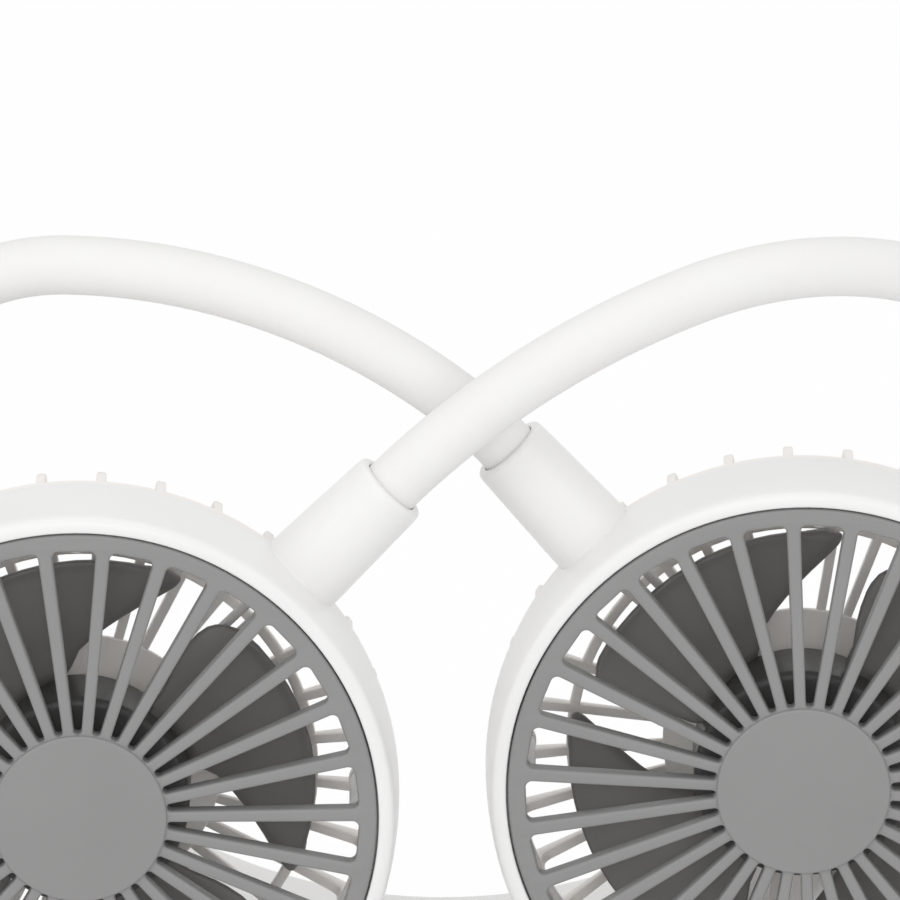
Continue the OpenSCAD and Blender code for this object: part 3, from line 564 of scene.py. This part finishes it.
def addSpline(curve, points, turn=0.0):
    spline = curve.splines.new("POLY")
    spline.points.add(len(points) - 1)
    spline.use_cyclic_u = True
    c, s = math.cos(turn), math.sin(turn)
    for point, (x, y) in zip(spline.points, points):
        point.co = (c * x - s * y, s * x + c * y, 0, 1)


# The grille's plate is a filled flat curve with a slot between each two spokes
def frontGrille(side):
    g = grille
    curve = bpy.data.curves.new("grillePlate", "CURVE")
    curve.dimensions = "2D"
    curve.fill_mode = "BOTH"
    curve.extrude = g["thickness"] / 2 - g["edge"]
    curve.bevel_depth = g["edge"]
    curve.bevel_resolution = 2
    curve.offset = -g["edge"]
    lastTurn = 360 - 360 / g["rimSteps"]
    addSpline(curve, arcPoints(0, 0, g["outR"], 0, lastTurn, g["rimSteps"] - 1))
    for index in range(g["spokes"]):
        turn = math.radians(g["phase"][side] + (index + 0.5) * 360 / g["spokes"])
        addSpline(curve, grilleSlot(), turn)
    flat = bpy.data.objects.new("grillePlate", curve)
    bpy.context.scene.collection.objects.link(flat)
    bpy.context.view_layer.update()
    plate = bpy.data.meshes.new_from_object(flat)
    bpy.data.objects.remove(flat)
    mesh = bmesh.new()
    mesh.from_mesh(plate)
    bmesh.ops.translate(mesh, verts=mesh.verts, vec=(0, 0, -g["thickness"] / 2))
    addSpun(mesh, [
        (0, g["hubRise"], 0),
        (g["hubR"], g["hubRise"], g["hubEdge"]),
        (g["hubR"], -g["hubDepth"], 0.3),
        (0, -g["hubDepth"], 0),
    ], closed=False, steps=g["hubSteps"])
    piece = finishPiece(side + "_grille_plate", mesh, headPlace(side), "grille_grey")
    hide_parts(side + "_front_grille")
    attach(piece, side + "_head")


backShell = {
    "from": -16.5,
    "back": -26.5,
    "wall": 1.8,
    "crown": 3.6,              # how far the back curves inwards from the disc to the rim
    "ringRise": 0.3,           # shares of the crown at the ring: its ribs, its own back, and inside the rim
    "ringSink": 0.4,
    "rimRise": 0.75,
    "tipR": 47.75,
    "flangeW": 4.4,
    "rimSteps": 128,
    "ribs": 32,
    "ribW": 1.5,
    "ribDrop": 0.65,           # the ribs stay this far inside the rim
    "shoulder": 1.2,
    "ribEdge": 0.3,
    "ribLap": 1.0,             # and reach this far into the disc
    "ribTurn": {"left": 1.4, "right": 0.0},
    "spigotOut": 45.65,
    "spigotIn": 44.25,
    "spigotTo": -14.5,
    "discR": 21.0,
    "ringR": 35.0,
    "ringW": 1.6,
    "cupIn": 11.15,
    "cupOut": 12.55,
    "cupTo": -19.7,
    "padR": 2.35,
}


def ribOutline():
    b = backShell
    top, back, wall, crown = b["from"], b["back"], b["wall"], b["crown"]
    ribR, inR, discR = b["tipR"] - b["ribDrop"], b["tipR"] - b["flangeW"], b["discR"] - b["ribLap"]
    return softened([
        (inR, top - wall / 2, 0),
        (ribR, top - wall / 2, 0),
        (ribR, back + b["shoulder"], 1.0),
        (b["ringR"], back + b["ringRise"] * crown, 3.0),
        (discR, back + b["ribEdge"], 0),
        (discR, back + wall - b["ribEdge"], 0),
        (b["ringR"], back + b["ringRise"] * crown + wall, 3.0),
        (inR, back + b["rimRise"] * crown + wall, 1.5),
    ])


def rearShell(side):
    b = backShell
    mesh = bmesh.new()
    top, back, wall, crown = b["from"], b["back"], b["wall"], b["crown"]
    inR = b["tipR"] - b["flangeW"]
    ringIn, ringOut = b["ringR"] - b["ringW"] / 2, b["ringR"] + b["ringW"] / 2
    ringBack, ringFront = back + b["ringSink"] * crown, back + b["ringRise"] * crown + wall
    addPlate(mesh, ribOutline(), b["ribW"], b["ribEdge"])
    stand = Matrix.Rotation(math.radians(180 / b["ribs"] + b["ribTurn"][side]), 4, "Z")
    stand = stand @ Matrix.Rotation(math.radians(90), 4, "X")
    bmesh.ops.transform(mesh, matrix=stand, verts=mesh.verts)
    repeatRound(mesh, b["ribs"])
    addSpun(mesh, [
        (inR, top - wall, 0.3),
        (b["tipR"], top - wall, 0.4),
        (b["tipR"], top, 0.4),
        (b["spigotOut"], top, 0.1),
        (b["spigotOut"], b["spigotTo"], 0.3),
        (b["spigotIn"], b["spigotTo"], 0.3),
        (b["spigotIn"], top, 0.3),
        (inR, top - 0.2, 0.2),
    ], steps=b["rimSteps"])
    addSpun(mesh, [
        (ringIn, ringBack, 0.4),
        (ringOut, ringBack, 0.4),
        (ringOut, ringFront, 0.4),
        (ringIn, ringFront, 0.4),
    ])
    addSpun(mesh, [
        (0, back, 0),
        (b["discR"] - wall / 2, back, 0.9),
        (b["discR"], back + wall / 2, 0.5),
        (b["discR"], back + wall, 0.3),
        (b["cupOut"], back + wall, 0.3),
        (b["cupOut"], b["cupTo"], 0.3),
        (b["cupIn"], b["cupTo"], 0.3),
        (b["cupIn"], back + wall, 0),
        (0, back + wall, 0),
    ], closed=False)
    # Pads round the screw holes
    for turn in casing["postTurns"]:
        place = Matrix.Rotation(math.radians(turn), 4, "Z")
        place = place @ Matrix.Translation((casing["postRing"], 0, top - wall / 2 - 0.02))
        addCylinder(mesh, b["padR"], wall - 0.1, place)
    # Its finish paints light and beige shade into the head's dim inside
    piece = finishPiece(side + "_back_shell", mesh, headPlace(side, arms[side]["socket"]), "back_white_painted_light_and_shade")
    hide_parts(side + "_rear_shell")
    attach(piece, side + "_head")


impeller = {
    "hubR": 16.5,
    "wall": 1.6,
    "front": -7.5,
    "length": 12.0,
    "bossR": 3.0,
    "bossTo": -15.6,
    "blades": 4,
    "tipR": 35.3,
    "bladeFront": -12.6,
    "bladeBack": -19.4,
    "thickness": 1.1,
    "columns": 8,
    "fullness": 0.6,           # smoothing between the grid's points
    "edgeFrom": 50,            # edges that bend more are rounded
    "edgeR": 0.28,
    "radiusShares": (0.46, 0.58, 0.70, 0.82, 0.92, 0.97, 1.0),
    "frontEdge": (50, 52, 54.5, 55, 53.5, 50.5, 45),     # angle of each edge at those radii, in degrees
    "backEdge": (10, 1.5, -9.5, -18, -23.5, -25.2, -25),
    "phase": {"left": 0.0, "right": 15.5},
}


def impellerHub(side):
    i = impeller
    mesh = bmesh.new()
    addSpun(mesh, [
        (0, i["front"], 0),
        (i["hubR"], i["front"], 1.3),
        (i["hubR"], i["front"] - i["length"], 0.3),
        (i["hubR"] - i["wall"], i["front"] - i["length"], 0.3),
        (i["hubR"] - i["wall"], i["front"] - i["wall"], 0.5),
        (i["bossR"], i["front"] - i["wall"], 0.5),
        (i["bossR"], i["bossTo"], 0.2),
        (0, i["bossTo"], 0),
    ], closed=False)
    # Its dark finish is partly painted shade, cast by the grille's hub disc in front of it
    piece = finishPiece(side + "_impeller_hub", mesh, headPlace(side), "hub_charcoal_and_painted_shade")
    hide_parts(side + "_impeller")
    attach(piece, side + "_impeller")


# A grid is bent to the blade's sweep, given its thickness and repeated round the hub
def impellerBlades(side):
    i = impeller
    mesh = bmesh.new()
    rows = len(i["radiusShares"]) - 1
    made = bmesh.ops.create_grid(mesh, x_segments=rows, y_segments=i["columns"], size=1)
    for vert in made["verts"]:
        row = round((vert.co.x + 1) / 2 * rows)
        share = (vert.co.y + 1) / 2      # from the front edge to the back edge
        angle = math.radians(i["frontEdge"][row] + share * (i["backEdge"][row] - i["frontEdge"][row]))
        radius = i["radiusShares"][row] * i["tipR"]
        depth = i["bladeFront"] + share * (i["bladeBack"] - i["bladeFront"])
        vert.co = (radius * math.cos(angle), radius * math.sin(angle), depth + i["thickness"] / 2)
    bmesh.ops.solidify(mesh, geom=list(mesh.faces), thickness=i["thickness"])
    bmesh.ops.subdivide_edges(mesh, edges=list(mesh.edges), cuts=1, smooth=i["fullness"], use_grid_fill=True)
    sharpEdges = [edge for edge in mesh.edges if edge.calc_face_angle(0) > math.radians(i["edgeFrom"])]
    roundEdges(mesh, sharpEdges, i["edgeR"], segments=3)
    repeatRound(mesh, i["blades"])
    place = headPlace(side, i["phase"][side])
    piece = finishPiece(side + "_impeller_blades", mesh, place, "impeller_charcoal", sharp=i["edgeFrom"])
    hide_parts(side + "_impeller")
    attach(piece, side + "_impeller")


# Lengths along the socket count from the head's middle
socket = {
    "depth": 15.0,             # its axis lies this far behind the grille's face
    "from": 44.2,
    "mouth": 67.1,
    "mouthR": 6.15,
    "mouthRound": 1.4,
    "mouthDraw": 0.12,
    "baseR": 6.7,
    "baseTo": 49.0,
    "flangeR": 7.6,
    "flange": 1.4,
    "boreR": 4.65,
    "grip": 13.15,
    "leadBore": 2.7,
}


def armSocket(side):
    s = socket
    mesh = bmesh.new()
    addSpun(mesh, [
        (s["leadBore"], s["from"] - s["flange"], 0.2),
        (s["flangeR"], s["from"] - s["flange"], 0.3),
        (s["flangeR"], s["from"], 0.3),
        (s["baseR"], s["from"], 0.2),
        (s["baseR"], s["baseTo"], 2.0),
        (s["mouthR"], s["mouth"] - s["mouthRound"], 1.0),
        (s["mouthR"] - s["mouthDraw"], s["mouth"], 0.75),
        (s["boreR"], s["mouth"], 0.35),
        (s["boreR"], s["mouth"] - s["grip"], 0.2),
        (s["leadBore"], s["mouth"] - s["grip"], 0.2),
    ])
    place = headPlace(side, arms[side]["socket"]) @ Matrix.Translation((0, 0, -s["depth"] * mm))
    place = place @ Matrix.Rotation(math.radians(90), 4, "Y")
    piece = finishPiece(side + "_socket_sleeve", mesh, place, "casing_white")
    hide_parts(side + "_arm_socket")
    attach(piece, side + "_head")


# Turns along the band count in degrees from its middle
band = {
    "inR": 82.5,
    "thickness": 14.0,
    "width": 24.0,
    "foot": 1.5,               # how deep the flat under it cuts into its round
    "edgeR": 4.0,
    "shellEnd": 60.0,
    "end": 75.0,
    "ballR": 7.3,
    "capSides": 48,
    "capCuts": 14,
    "boardTurn": 49.6,
    "buttonAt": 8.1,           # from the board's middle
}
bandMidR = band["inR"] + band["thickness"] / 2
bandZ = band["inR"] + band["thickness"] - band["foot"]

# Each arm: turn of its socket, side of its foot, radius and turn of each bend, and the straight run to its foot
arms = {
    "left": {"socket": 45.4, "footSide": 1, "arcs": ((104, 8), (104, 22), (54, 50)), "run": 20.1},
    "right": {"socket": 132.0, "footSide": -1, "arcs": ((60, 13), (88, 20), (88, 20)), "run": 15.8},
}
tube = {
    "outR": 4.5,
    "boreR": 3.0,
    "spineR": 1.1,
    "leadR": 0.75,
    "grip": 13.0,
    "sides": 56,
    "insideSides": 20,
    "bendStep": 2,             # degrees
    "headBend": 7,             # half the stretch that bends when the head tilts
    "footBend": 13.5,          # and when the arm bends at its foot
}
inTube = {"spine": ((1.35, 0.0),), "leads": ((-1.15, 1.2), (-1.15, -1.2))}     # outwards and sideways


# Each arm lies in one plane: x along its socket, y to the inside of the bend, from the socket's mouth
class ArmRoute:
    def __init__(self, side):
        arm = arms[side]
        turn = math.radians(arm["socket"])
        self.along = Vector((math.cos(turn), 0, math.sin(turn)))
        mouth = headCentre(side) + Vector((0, socket["depth"], 0)) + socket["mouth"] * self.along
        end = math.radians(band["end"]) * arm["footSide"]
        self.foot = Vector((bandMidR * math.sin(end), 0, bandZ - bandMidR * math.cos(end)))
        reach = self.foot - mouth
        acrossPlane = self.along.cross(reach).normalized()
        inward = acrossPlane.cross(self.along)
        axes = Matrix((self.along, inward, acrossPlane)).transposed().to_4x4()
        self.place = Matrix.Translation(mouth * mm) @ axes
        self.stretches = []    # start, heading, radius or length, turn
        point, heading = Vector((0, 0)), 0.0
        for radius, degrees in arm["arcs"]:
            bend = math.radians(degrees)
            self.stretches.append((point, heading, radius, bend))
            point = arcEnd(point, heading, radius, bend)
            heading += bend
        # The last bend is the one that leaves the straight run its length
        self.footFlat = Vector((reach.dot(self.along), reach.dot(inward)))
        gap = self.footFlat - point
        sideways = Vector((-math.sin(heading), math.cos(heading)))
        radius = (gap.length_squared - arm["run"] ** 2) / (2 * gap.dot(sideways))
        toFoot = gap - radius * sideways
        self.lastHeading = math.atan2(toFoot.y, toFoot.x) + math.pi / 2 - math.atan2(arm["run"], radius)
        bend = self.lastHeading - heading
        self.stretches.append((point, heading, radius, bend))
        self.stretches.append((arcEnd(point, heading, radius, bend), self.lastHeading, arm["run"], None))

    # The upper part starts in the socket's grip, the lower part is the last bend and the run
    def upper(self):
        return [(Vector((-tube["grip"], 0)), 0.0, tube["grip"], None)] + self.stretches[:-2]

    def lower(self):
        return self.stretches[-2:]


def arcEnd(point, heading, radius, bend):
    rise = Vector((math.sin(heading + bend) - math.sin(heading), math.cos(heading) - math.cos(heading + bend)))
    return point + radius * rise


# A round rod or hose skin along some stretches of a route; gives its first and last rings
def addRod(mesh, stretches, radius, offset, sides):
    point, heading = stretches[0][0], stretches[0][1]
    start = Matrix.Translation((point.x, point.y, 0)) @ Matrix.Rotation(heading, 4, "Z")
    start = start @ Matrix.Translation((0, -offset[0], offset[1])) @ Matrix.Rotation(math.radians(90), 4, "Y")
    ring = bmesh.ops.create_circle(mesh, segments=sides, radius=radius, matrix=start)["verts"]
    edges = firstEdges = edgesOf(ring)
    for point, heading, size, bend in stretches:
        if bend is None:
            grown = bmesh.ops.extrude_edge_only(mesh, edges=edges)["geom"]
            verts = [item for item in grown if isinstance(item, bmesh.types.BMVert)]
            bmesh.ops.translate(mesh, verts=verts, vec=(size * math.cos(heading), size * math.sin(heading), 0))
            edges = [item for item in grown if isinstance(item, bmesh.types.BMEdge)]
            edges = [edge for edge in edges if all(vert in verts for vert in edge.verts)]
        else:
            centre = (point.x - size * math.sin(heading), point.y + size * math.cos(heading), 0)
            steps = max(4, round(math.degrees(bend) / tube["bendStep"]))
            turned = bmesh.ops.spin(
                mesh, geom=vertsOf(edges) + edges, cent=centre, axis=(0, 0, 1), angle=bend, steps=steps)
            edges = [item for item in turned["geom_last"] if isinstance(item, bmesh.types.BMEdge)]
    return firstEdges, edges


# Closes a hose's end: its rim is drawn in to the bore, whose own ring then merges with it
def closeHose(mesh, rim):
    grown = bmesh.ops.extrude_edge_only(mesh, edges=rim)["geom"]
    verts = [item for item in grown if isinstance(item, bmesh.types.BMVert)]
    middle = sum((vert.co for vert in verts), Vector()) / len(verts)
    shrink = Vector((tube["boreR"] / tube["outR"],) * 3)
    bmesh.ops.scale(mesh, vec=shrink, space=Matrix.Translation(-middle), verts=verts)


armFinishes = {"sheath": "sheath_silicone", "spine": "steel", "leads": "lead_insulation"}


def armPiece(side, part, route, kind):
    mesh = bmesh.new()
    stretches = route.upper() if part == "upper" else route.lower()
    if kind == "sheath":
        for rim in addRod(mesh, stretches, tube["outR"], (0, 0), tube["sides"]):
            closeHose(mesh, rim)
        addRod(mesh, stretches, tube["boreR"], (0, 0), tube["sides"])
    else:
        radius = tube["spineR"] if kind == "spine" else tube["leadR"]
        for spot in inTube[kind]:
            for ends in addRod(mesh, stretches, radius, spot, tube["insideSides"]):
                bmesh.ops.holes_fill(mesh, edges=ends, sides=0)
    piece = finishPiece(f"{side}_{part}_{kind}", mesh, route.place, armFinishes[kind])
    flexNode = f"{side}_{part}_flex" if kind == "sheath" else f"{side}_{part}_{kind}"
    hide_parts(flexNode, f"{side}_arm_{kind}")
    if part == "upper":
        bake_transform(piece)
    else:
        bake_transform(piece)


# Lengths along the boot count from the middle of the band's ball
boot = {
    "from": 4.0,
    "baseR": 6.1,
    "baseDraw": 0.05,
    "baseLength": 3.5,
    "tipR": 5.3,
    "tipDraw": 0.1,
    "tipLength": 1.6,
    "top": 14.0,
    "boreR": 4.65,
    "steps": 72,
}


def armBoot(side, route):
    b = boot
    mesh = bmesh.new()
    addSpun(mesh, [
        (b["boreR"], b["from"], 0),
        (b["baseR"], b["from"], 0.25),
        (b["baseR"] - b["baseDraw"], b["from"] + b["baseLength"], 2.0),
        (b["tipR"] + b["tipDraw"] / 2, b["top"] - b["tipLength"], 1.0),
        (b["tipR"] - b["tipDraw"], b["top"], 0.45),
        (b["boreR"], b["top"], 0.2),
    ], steps=b["steps"])
    fromFoot = Matrix.Translation((route.footFlat.x * mm, route.footFlat.y * mm, 0))
    up = Matrix.Rotation(route.lastHeading, 4, "Z") @ Matrix.Rotation(math.radians(-90), 4, "Y")
    piece = finishPiece(side + "_boot", mesh, route.place @ fromFoot @ up, "boot_white")
    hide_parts(side + "_arm_boot")
    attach(piece, "neckband")


# The band's section narrows to the ball that carries the boot
def endCap(side, route):
    b = band
    mesh = bmesh.new()
    halfStep = Matrix.Rotation(math.pi / b["capSides"], 4, "Z")
    addCylinder(mesh, 1, 1, halfStep, segments=b["capSides"])
    lengthwise = [edge for edge in mesh.edges if abs(edge.verts[0].co.z - edge.verts[1].co.z) > 0.5]
    bmesh.ops.subdivide_edges(mesh, edges=lengthwise, cuts=b["capCuts"])
    for vert in mesh.verts:
        share = vert.co.z + 0.5                    # from the shells' end to the ball
        ease = share * share * (3 - 2 * share)
        halfW = b["width"] / 2 + (b["ballR"] - b["width"] / 2) * ease
        halfT = b["thickness"] / 2 + (b["ballR"] - b["thickness"] / 2) * ease
        corner = b["edgeR"] + (b["ballR"] - b["edgeR"]) * ease
        x = math.copysign(halfW - corner, vert.co.x) + corner * vert.co.x
        y = math.copysign(max(halfT - corner, 0), vert.co.y) + corner * vert.co.y
        turn = math.radians(b["shellEnd"] + (b["end"] - b["shellEnd"]) * share) * arms[side]["footSide"]
        radius = bandMidR + y
        vert.co = (radius * math.sin(turn), x, bandZ - radius * math.cos(turn))
    ball = Matrix.Translation(route.foot)
    bmesh.ops.create_uvsphere(
        mesh, u_segments=b["capSides"], v_segments=b["capSides"] // 2, radius=b["ballR"], matrix=ball)
    piece = finishPiece(side + "_band_cap", mesh, Matrix.Identity(4), "casing_white")
    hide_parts(side + "_arm_end_cap")
    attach(piece, "neckband")


# Heights of the button count from the band's mid plane
button = {
    "stemR": 1.45,
    "stemFrom": 8.75,
    "skirtR": 3.4,
    "skirtAt": 9.55,
    "skirt": 0.5,
    "capR": 2.75,
    "top": 12.7,
    "dishR": 1.6,
    "dish": 0.25,
    "steps": 48,
}


def powerButton():
    b = button
    mesh = bmesh.new()
    addSpun(mesh, [
        (0, b["stemFrom"], 0),
        (b["stemR"], b["stemFrom"], 0.2),
        (b["stemR"], b["skirtAt"], 0.1),
        (b["skirtR"], b["skirtAt"], 0.1),
        (b["skirtR"], b["skirtAt"] + b["skirt"], 0.1),
        (b["capR"], b["skirtAt"] + b["skirt"], 0),
        (b["capR"], b["top"], 0.6),
        (b["dishR"], b["top"] - 0.02, 0.6),
        (0, b["top"] - b["dish"], 0),
    ], closed=False, steps=b["steps"])
    place = Matrix.Translation((0, 0, bandZ * mm)) @ Matrix.Rotation(math.radians(-band["boardTurn"]), 4, "Y")
    place = place @ Matrix.Translation((band["buttonAt"] * mm, 0, -bandMidR * mm))
    place = place @ Matrix.Rotation(math.radians(-90), 4, "X")
    piece = finishPiece("button_cap", mesh, place, "button_grey")
    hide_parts("power_button")
    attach(piece, "power_button")


copies = {"weldGap": 0.002, "sharp": 32}


# A CAD node with its triangles merged, so that its round faces shade smoothly
def smoothCopy(node, name, finish, body):
    mesh = bmesh.new()
    mesh.from_mesh(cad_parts[node].data)
    bmesh.ops.remove_doubles(mesh, verts=mesh.verts, dist=copies["weldGap"] * mm)
    data = bpy.data.meshes.new(name)
    mesh.to_mesh(data)
    mesh.free()
    piece = makeObject(name, data, finish, copies["sharp"])
    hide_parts(node)
    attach(piece, body)
    shading = piece.modifiers.new("shading", "WEIGHTED_NORMAL")
    shading.keep_sharp = True


routes = {side: ArmRoute(side) for side in headSides}
for side in headSides:
    frontCasing(side)
    frontGrille(side)
    rearShell(side)
    impellerHub(side)
    impellerBlades(side)
    armSocket(side)
    print(side, "head made")
    for part in ("upper", "lower"):
        for kind in ("sheath", "spine", "leads"):
            armPiece(side, part, routes[side], kind)
    armBoot(side, routes[side])
    endCap(side, routes[side])
    print(side, "arm made")
powerButton()
smoothCopy("band_outer_shell", "band_back_cover", "casing_white", "neckband")
smoothCopy("band_inner_shell", "band_neck_cover", "casing_white", "neckband")
smoothCopy("indicator_light", "light_pipe", "light_lens", "neckband")
smoothCopy("usb_port", "charging_port", "port_shell", "neckband")
print("band made")

# The CAD's own nodes get the same finishes, also where a piece above stands in for them
headAndArmNodes = {
    "motor": "motor_can", "motor_shaft": "steel", "casing_screws": "steel", "head_leads": "lead_insulation",
    "front_grille": "grille_grey", "front_casing": "casing_white", "rear_shell": "back_white_painted_light_and_shade",
    "impeller": "impeller_charcoal", "arm_socket": "casing_white", "upper_flex": "sheath_silicone",
    "arm_sheath": "sheath_silicone", "lower_flex": "sheath_silicone", "upper_spine": "steel",
    "arm_spine": "steel", "lower_spine": "steel", "upper_leads": "lead_insulation",
    "arm_leads": "lead_insulation", "lower_leads": "lead_insulation", "arm_boot": "boot_white",
    "arm_end_cap": "casing_white",
}
bandNodes = {
    "left_battery_cell": "cell_wrap", "right_battery_cell": "cell_wrap", "circuit_board": "board_green",
    "power_switch": "switch_black", "band_leads": "lead_insulation", "band_screws": "steel",
    "band_outer_shell": "casing_white", "band_inner_shell": "casing_white", "power_button": "button_grey",
    "indicator_light": "light_lens", "usb_port": "port_shell",
}


def dressNode(node, finish):
    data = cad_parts[node].data
    data.materials.clear()
    data.materials.append(finishes[finish])


for side in headSides:
    for node, finish in headAndArmNodes.items():
        dressNode(f"{side}_{node}", finish)
for node, finish in bandNodes.items():
    dressNode(node, finish)
print("frame nodes dressed")

# Metres, as Blender's own lamps and floor are
studio = {
    "floorHalf": 14.0,
    "floorTone": 0.9,
    "floorKeep": 0.96,         # how much of it is plain white to the camera; the rest takes the shadow
    "skyLight": 0.73,
    "lampAim": (0, -0.02, 0.06),
    "lamps": (
        # name, place, size, watts
        ("key", (-0.55, -1.10, 1.25), 0.80, 2.6),
        ("front", (-0.10, -1.90, 0.66), 0.50, 3.4),
        ("fill", (0.95, -1.20, 0.60), 1.00, 2.2),
        ("low", (-1.20, -0.85, 0.25), 1.00, 2.4),
        ("top", (0.05, 0.10, 1.50), 1.20, 2.4),
    ),
}


# White seen straight, in reflections and through clear parts
def whiteToRays(finish):
    rays = finish.add("ShaderNodeLightPath", {}, {})
    seen = Amount(finish, rays.outputs["Is Camera Ray"]) + Amount(finish, rays.outputs["Is Glossy Ray"])
    seen = seen + Amount(finish, rays.outputs["Is Transmission Ray"])
    return finish.amount("ShaderNodeMath", {"operation": "MINIMUM"}, {0: seen, 1: 1.0})


def makeFloor():
    mesh = bmesh.new()
    bmesh.ops.create_grid(mesh, x_segments=1, y_segments=1, size=studio["floorHalf"])
    data = bpy.data.meshes.new("floor")
    mesh.to_mesh(data)
    mesh.free()
    floor = bpy.data.objects.new("floor", data)
    bpy.context.scene.collection.objects.link(floor)
    finish = Finish("floor")
    plain = finish.add("ShaderNodeBsdfDiffuse", {}, {"Color": tone(studio["floorTone"])})
    glow = finish.add("ShaderNodeEmission", {}, {"Color": tone(1), "Strength": 1.0})
    share = whiteToRays(finish) * studio["floorKeep"]
    mixed = finish.add("ShaderNodeMixShader", {}, {0: share, 1: plain.outputs[0], 2: glow.outputs[0]})
    finish.add("ShaderNodeOutputMaterial", {}, {"Surface": mixed.outputs[0]})
    data.materials.append(finish.material)


def makeSky():
    world = bpy.data.worlds.new("studio")
    bpy.context.scene.world = world
    sky = Finish("studio", world)
    strength = studio["skyLight"] + whiteToRays(sky) * (1 - studio["skyLight"])
    background = sky.add("ShaderNodeBackground", {}, {"Color": tone(1), "Strength": strength})
    sky.add("ShaderNodeOutputWorld", {}, {"Surface": background.outputs[0]})


def makeLamps():
    for name, place, size, watts in studio["lamps"]:
        toAim = Vector(studio["lampAim"]) - Vector(place)
        lamp = bpy.data.lights.new(name, "AREA")
        lamp.shape = "DISK"
        lamp.size = size
        lamp.energy = watts
        holder = bpy.data.objects.new(name, lamp)
        holder.location = place
        holder.rotation_mode = "QUATERNION"
        holder.rotation_quaternion = toAim.to_track_quat("-Z", "Y")
        bpy.context.scene.collection.objects.link(holder)


makeFloor()
makeSky()
makeLamps()
bpy.context.scene.view_settings.view_transform = "Standard"
print("studio made")
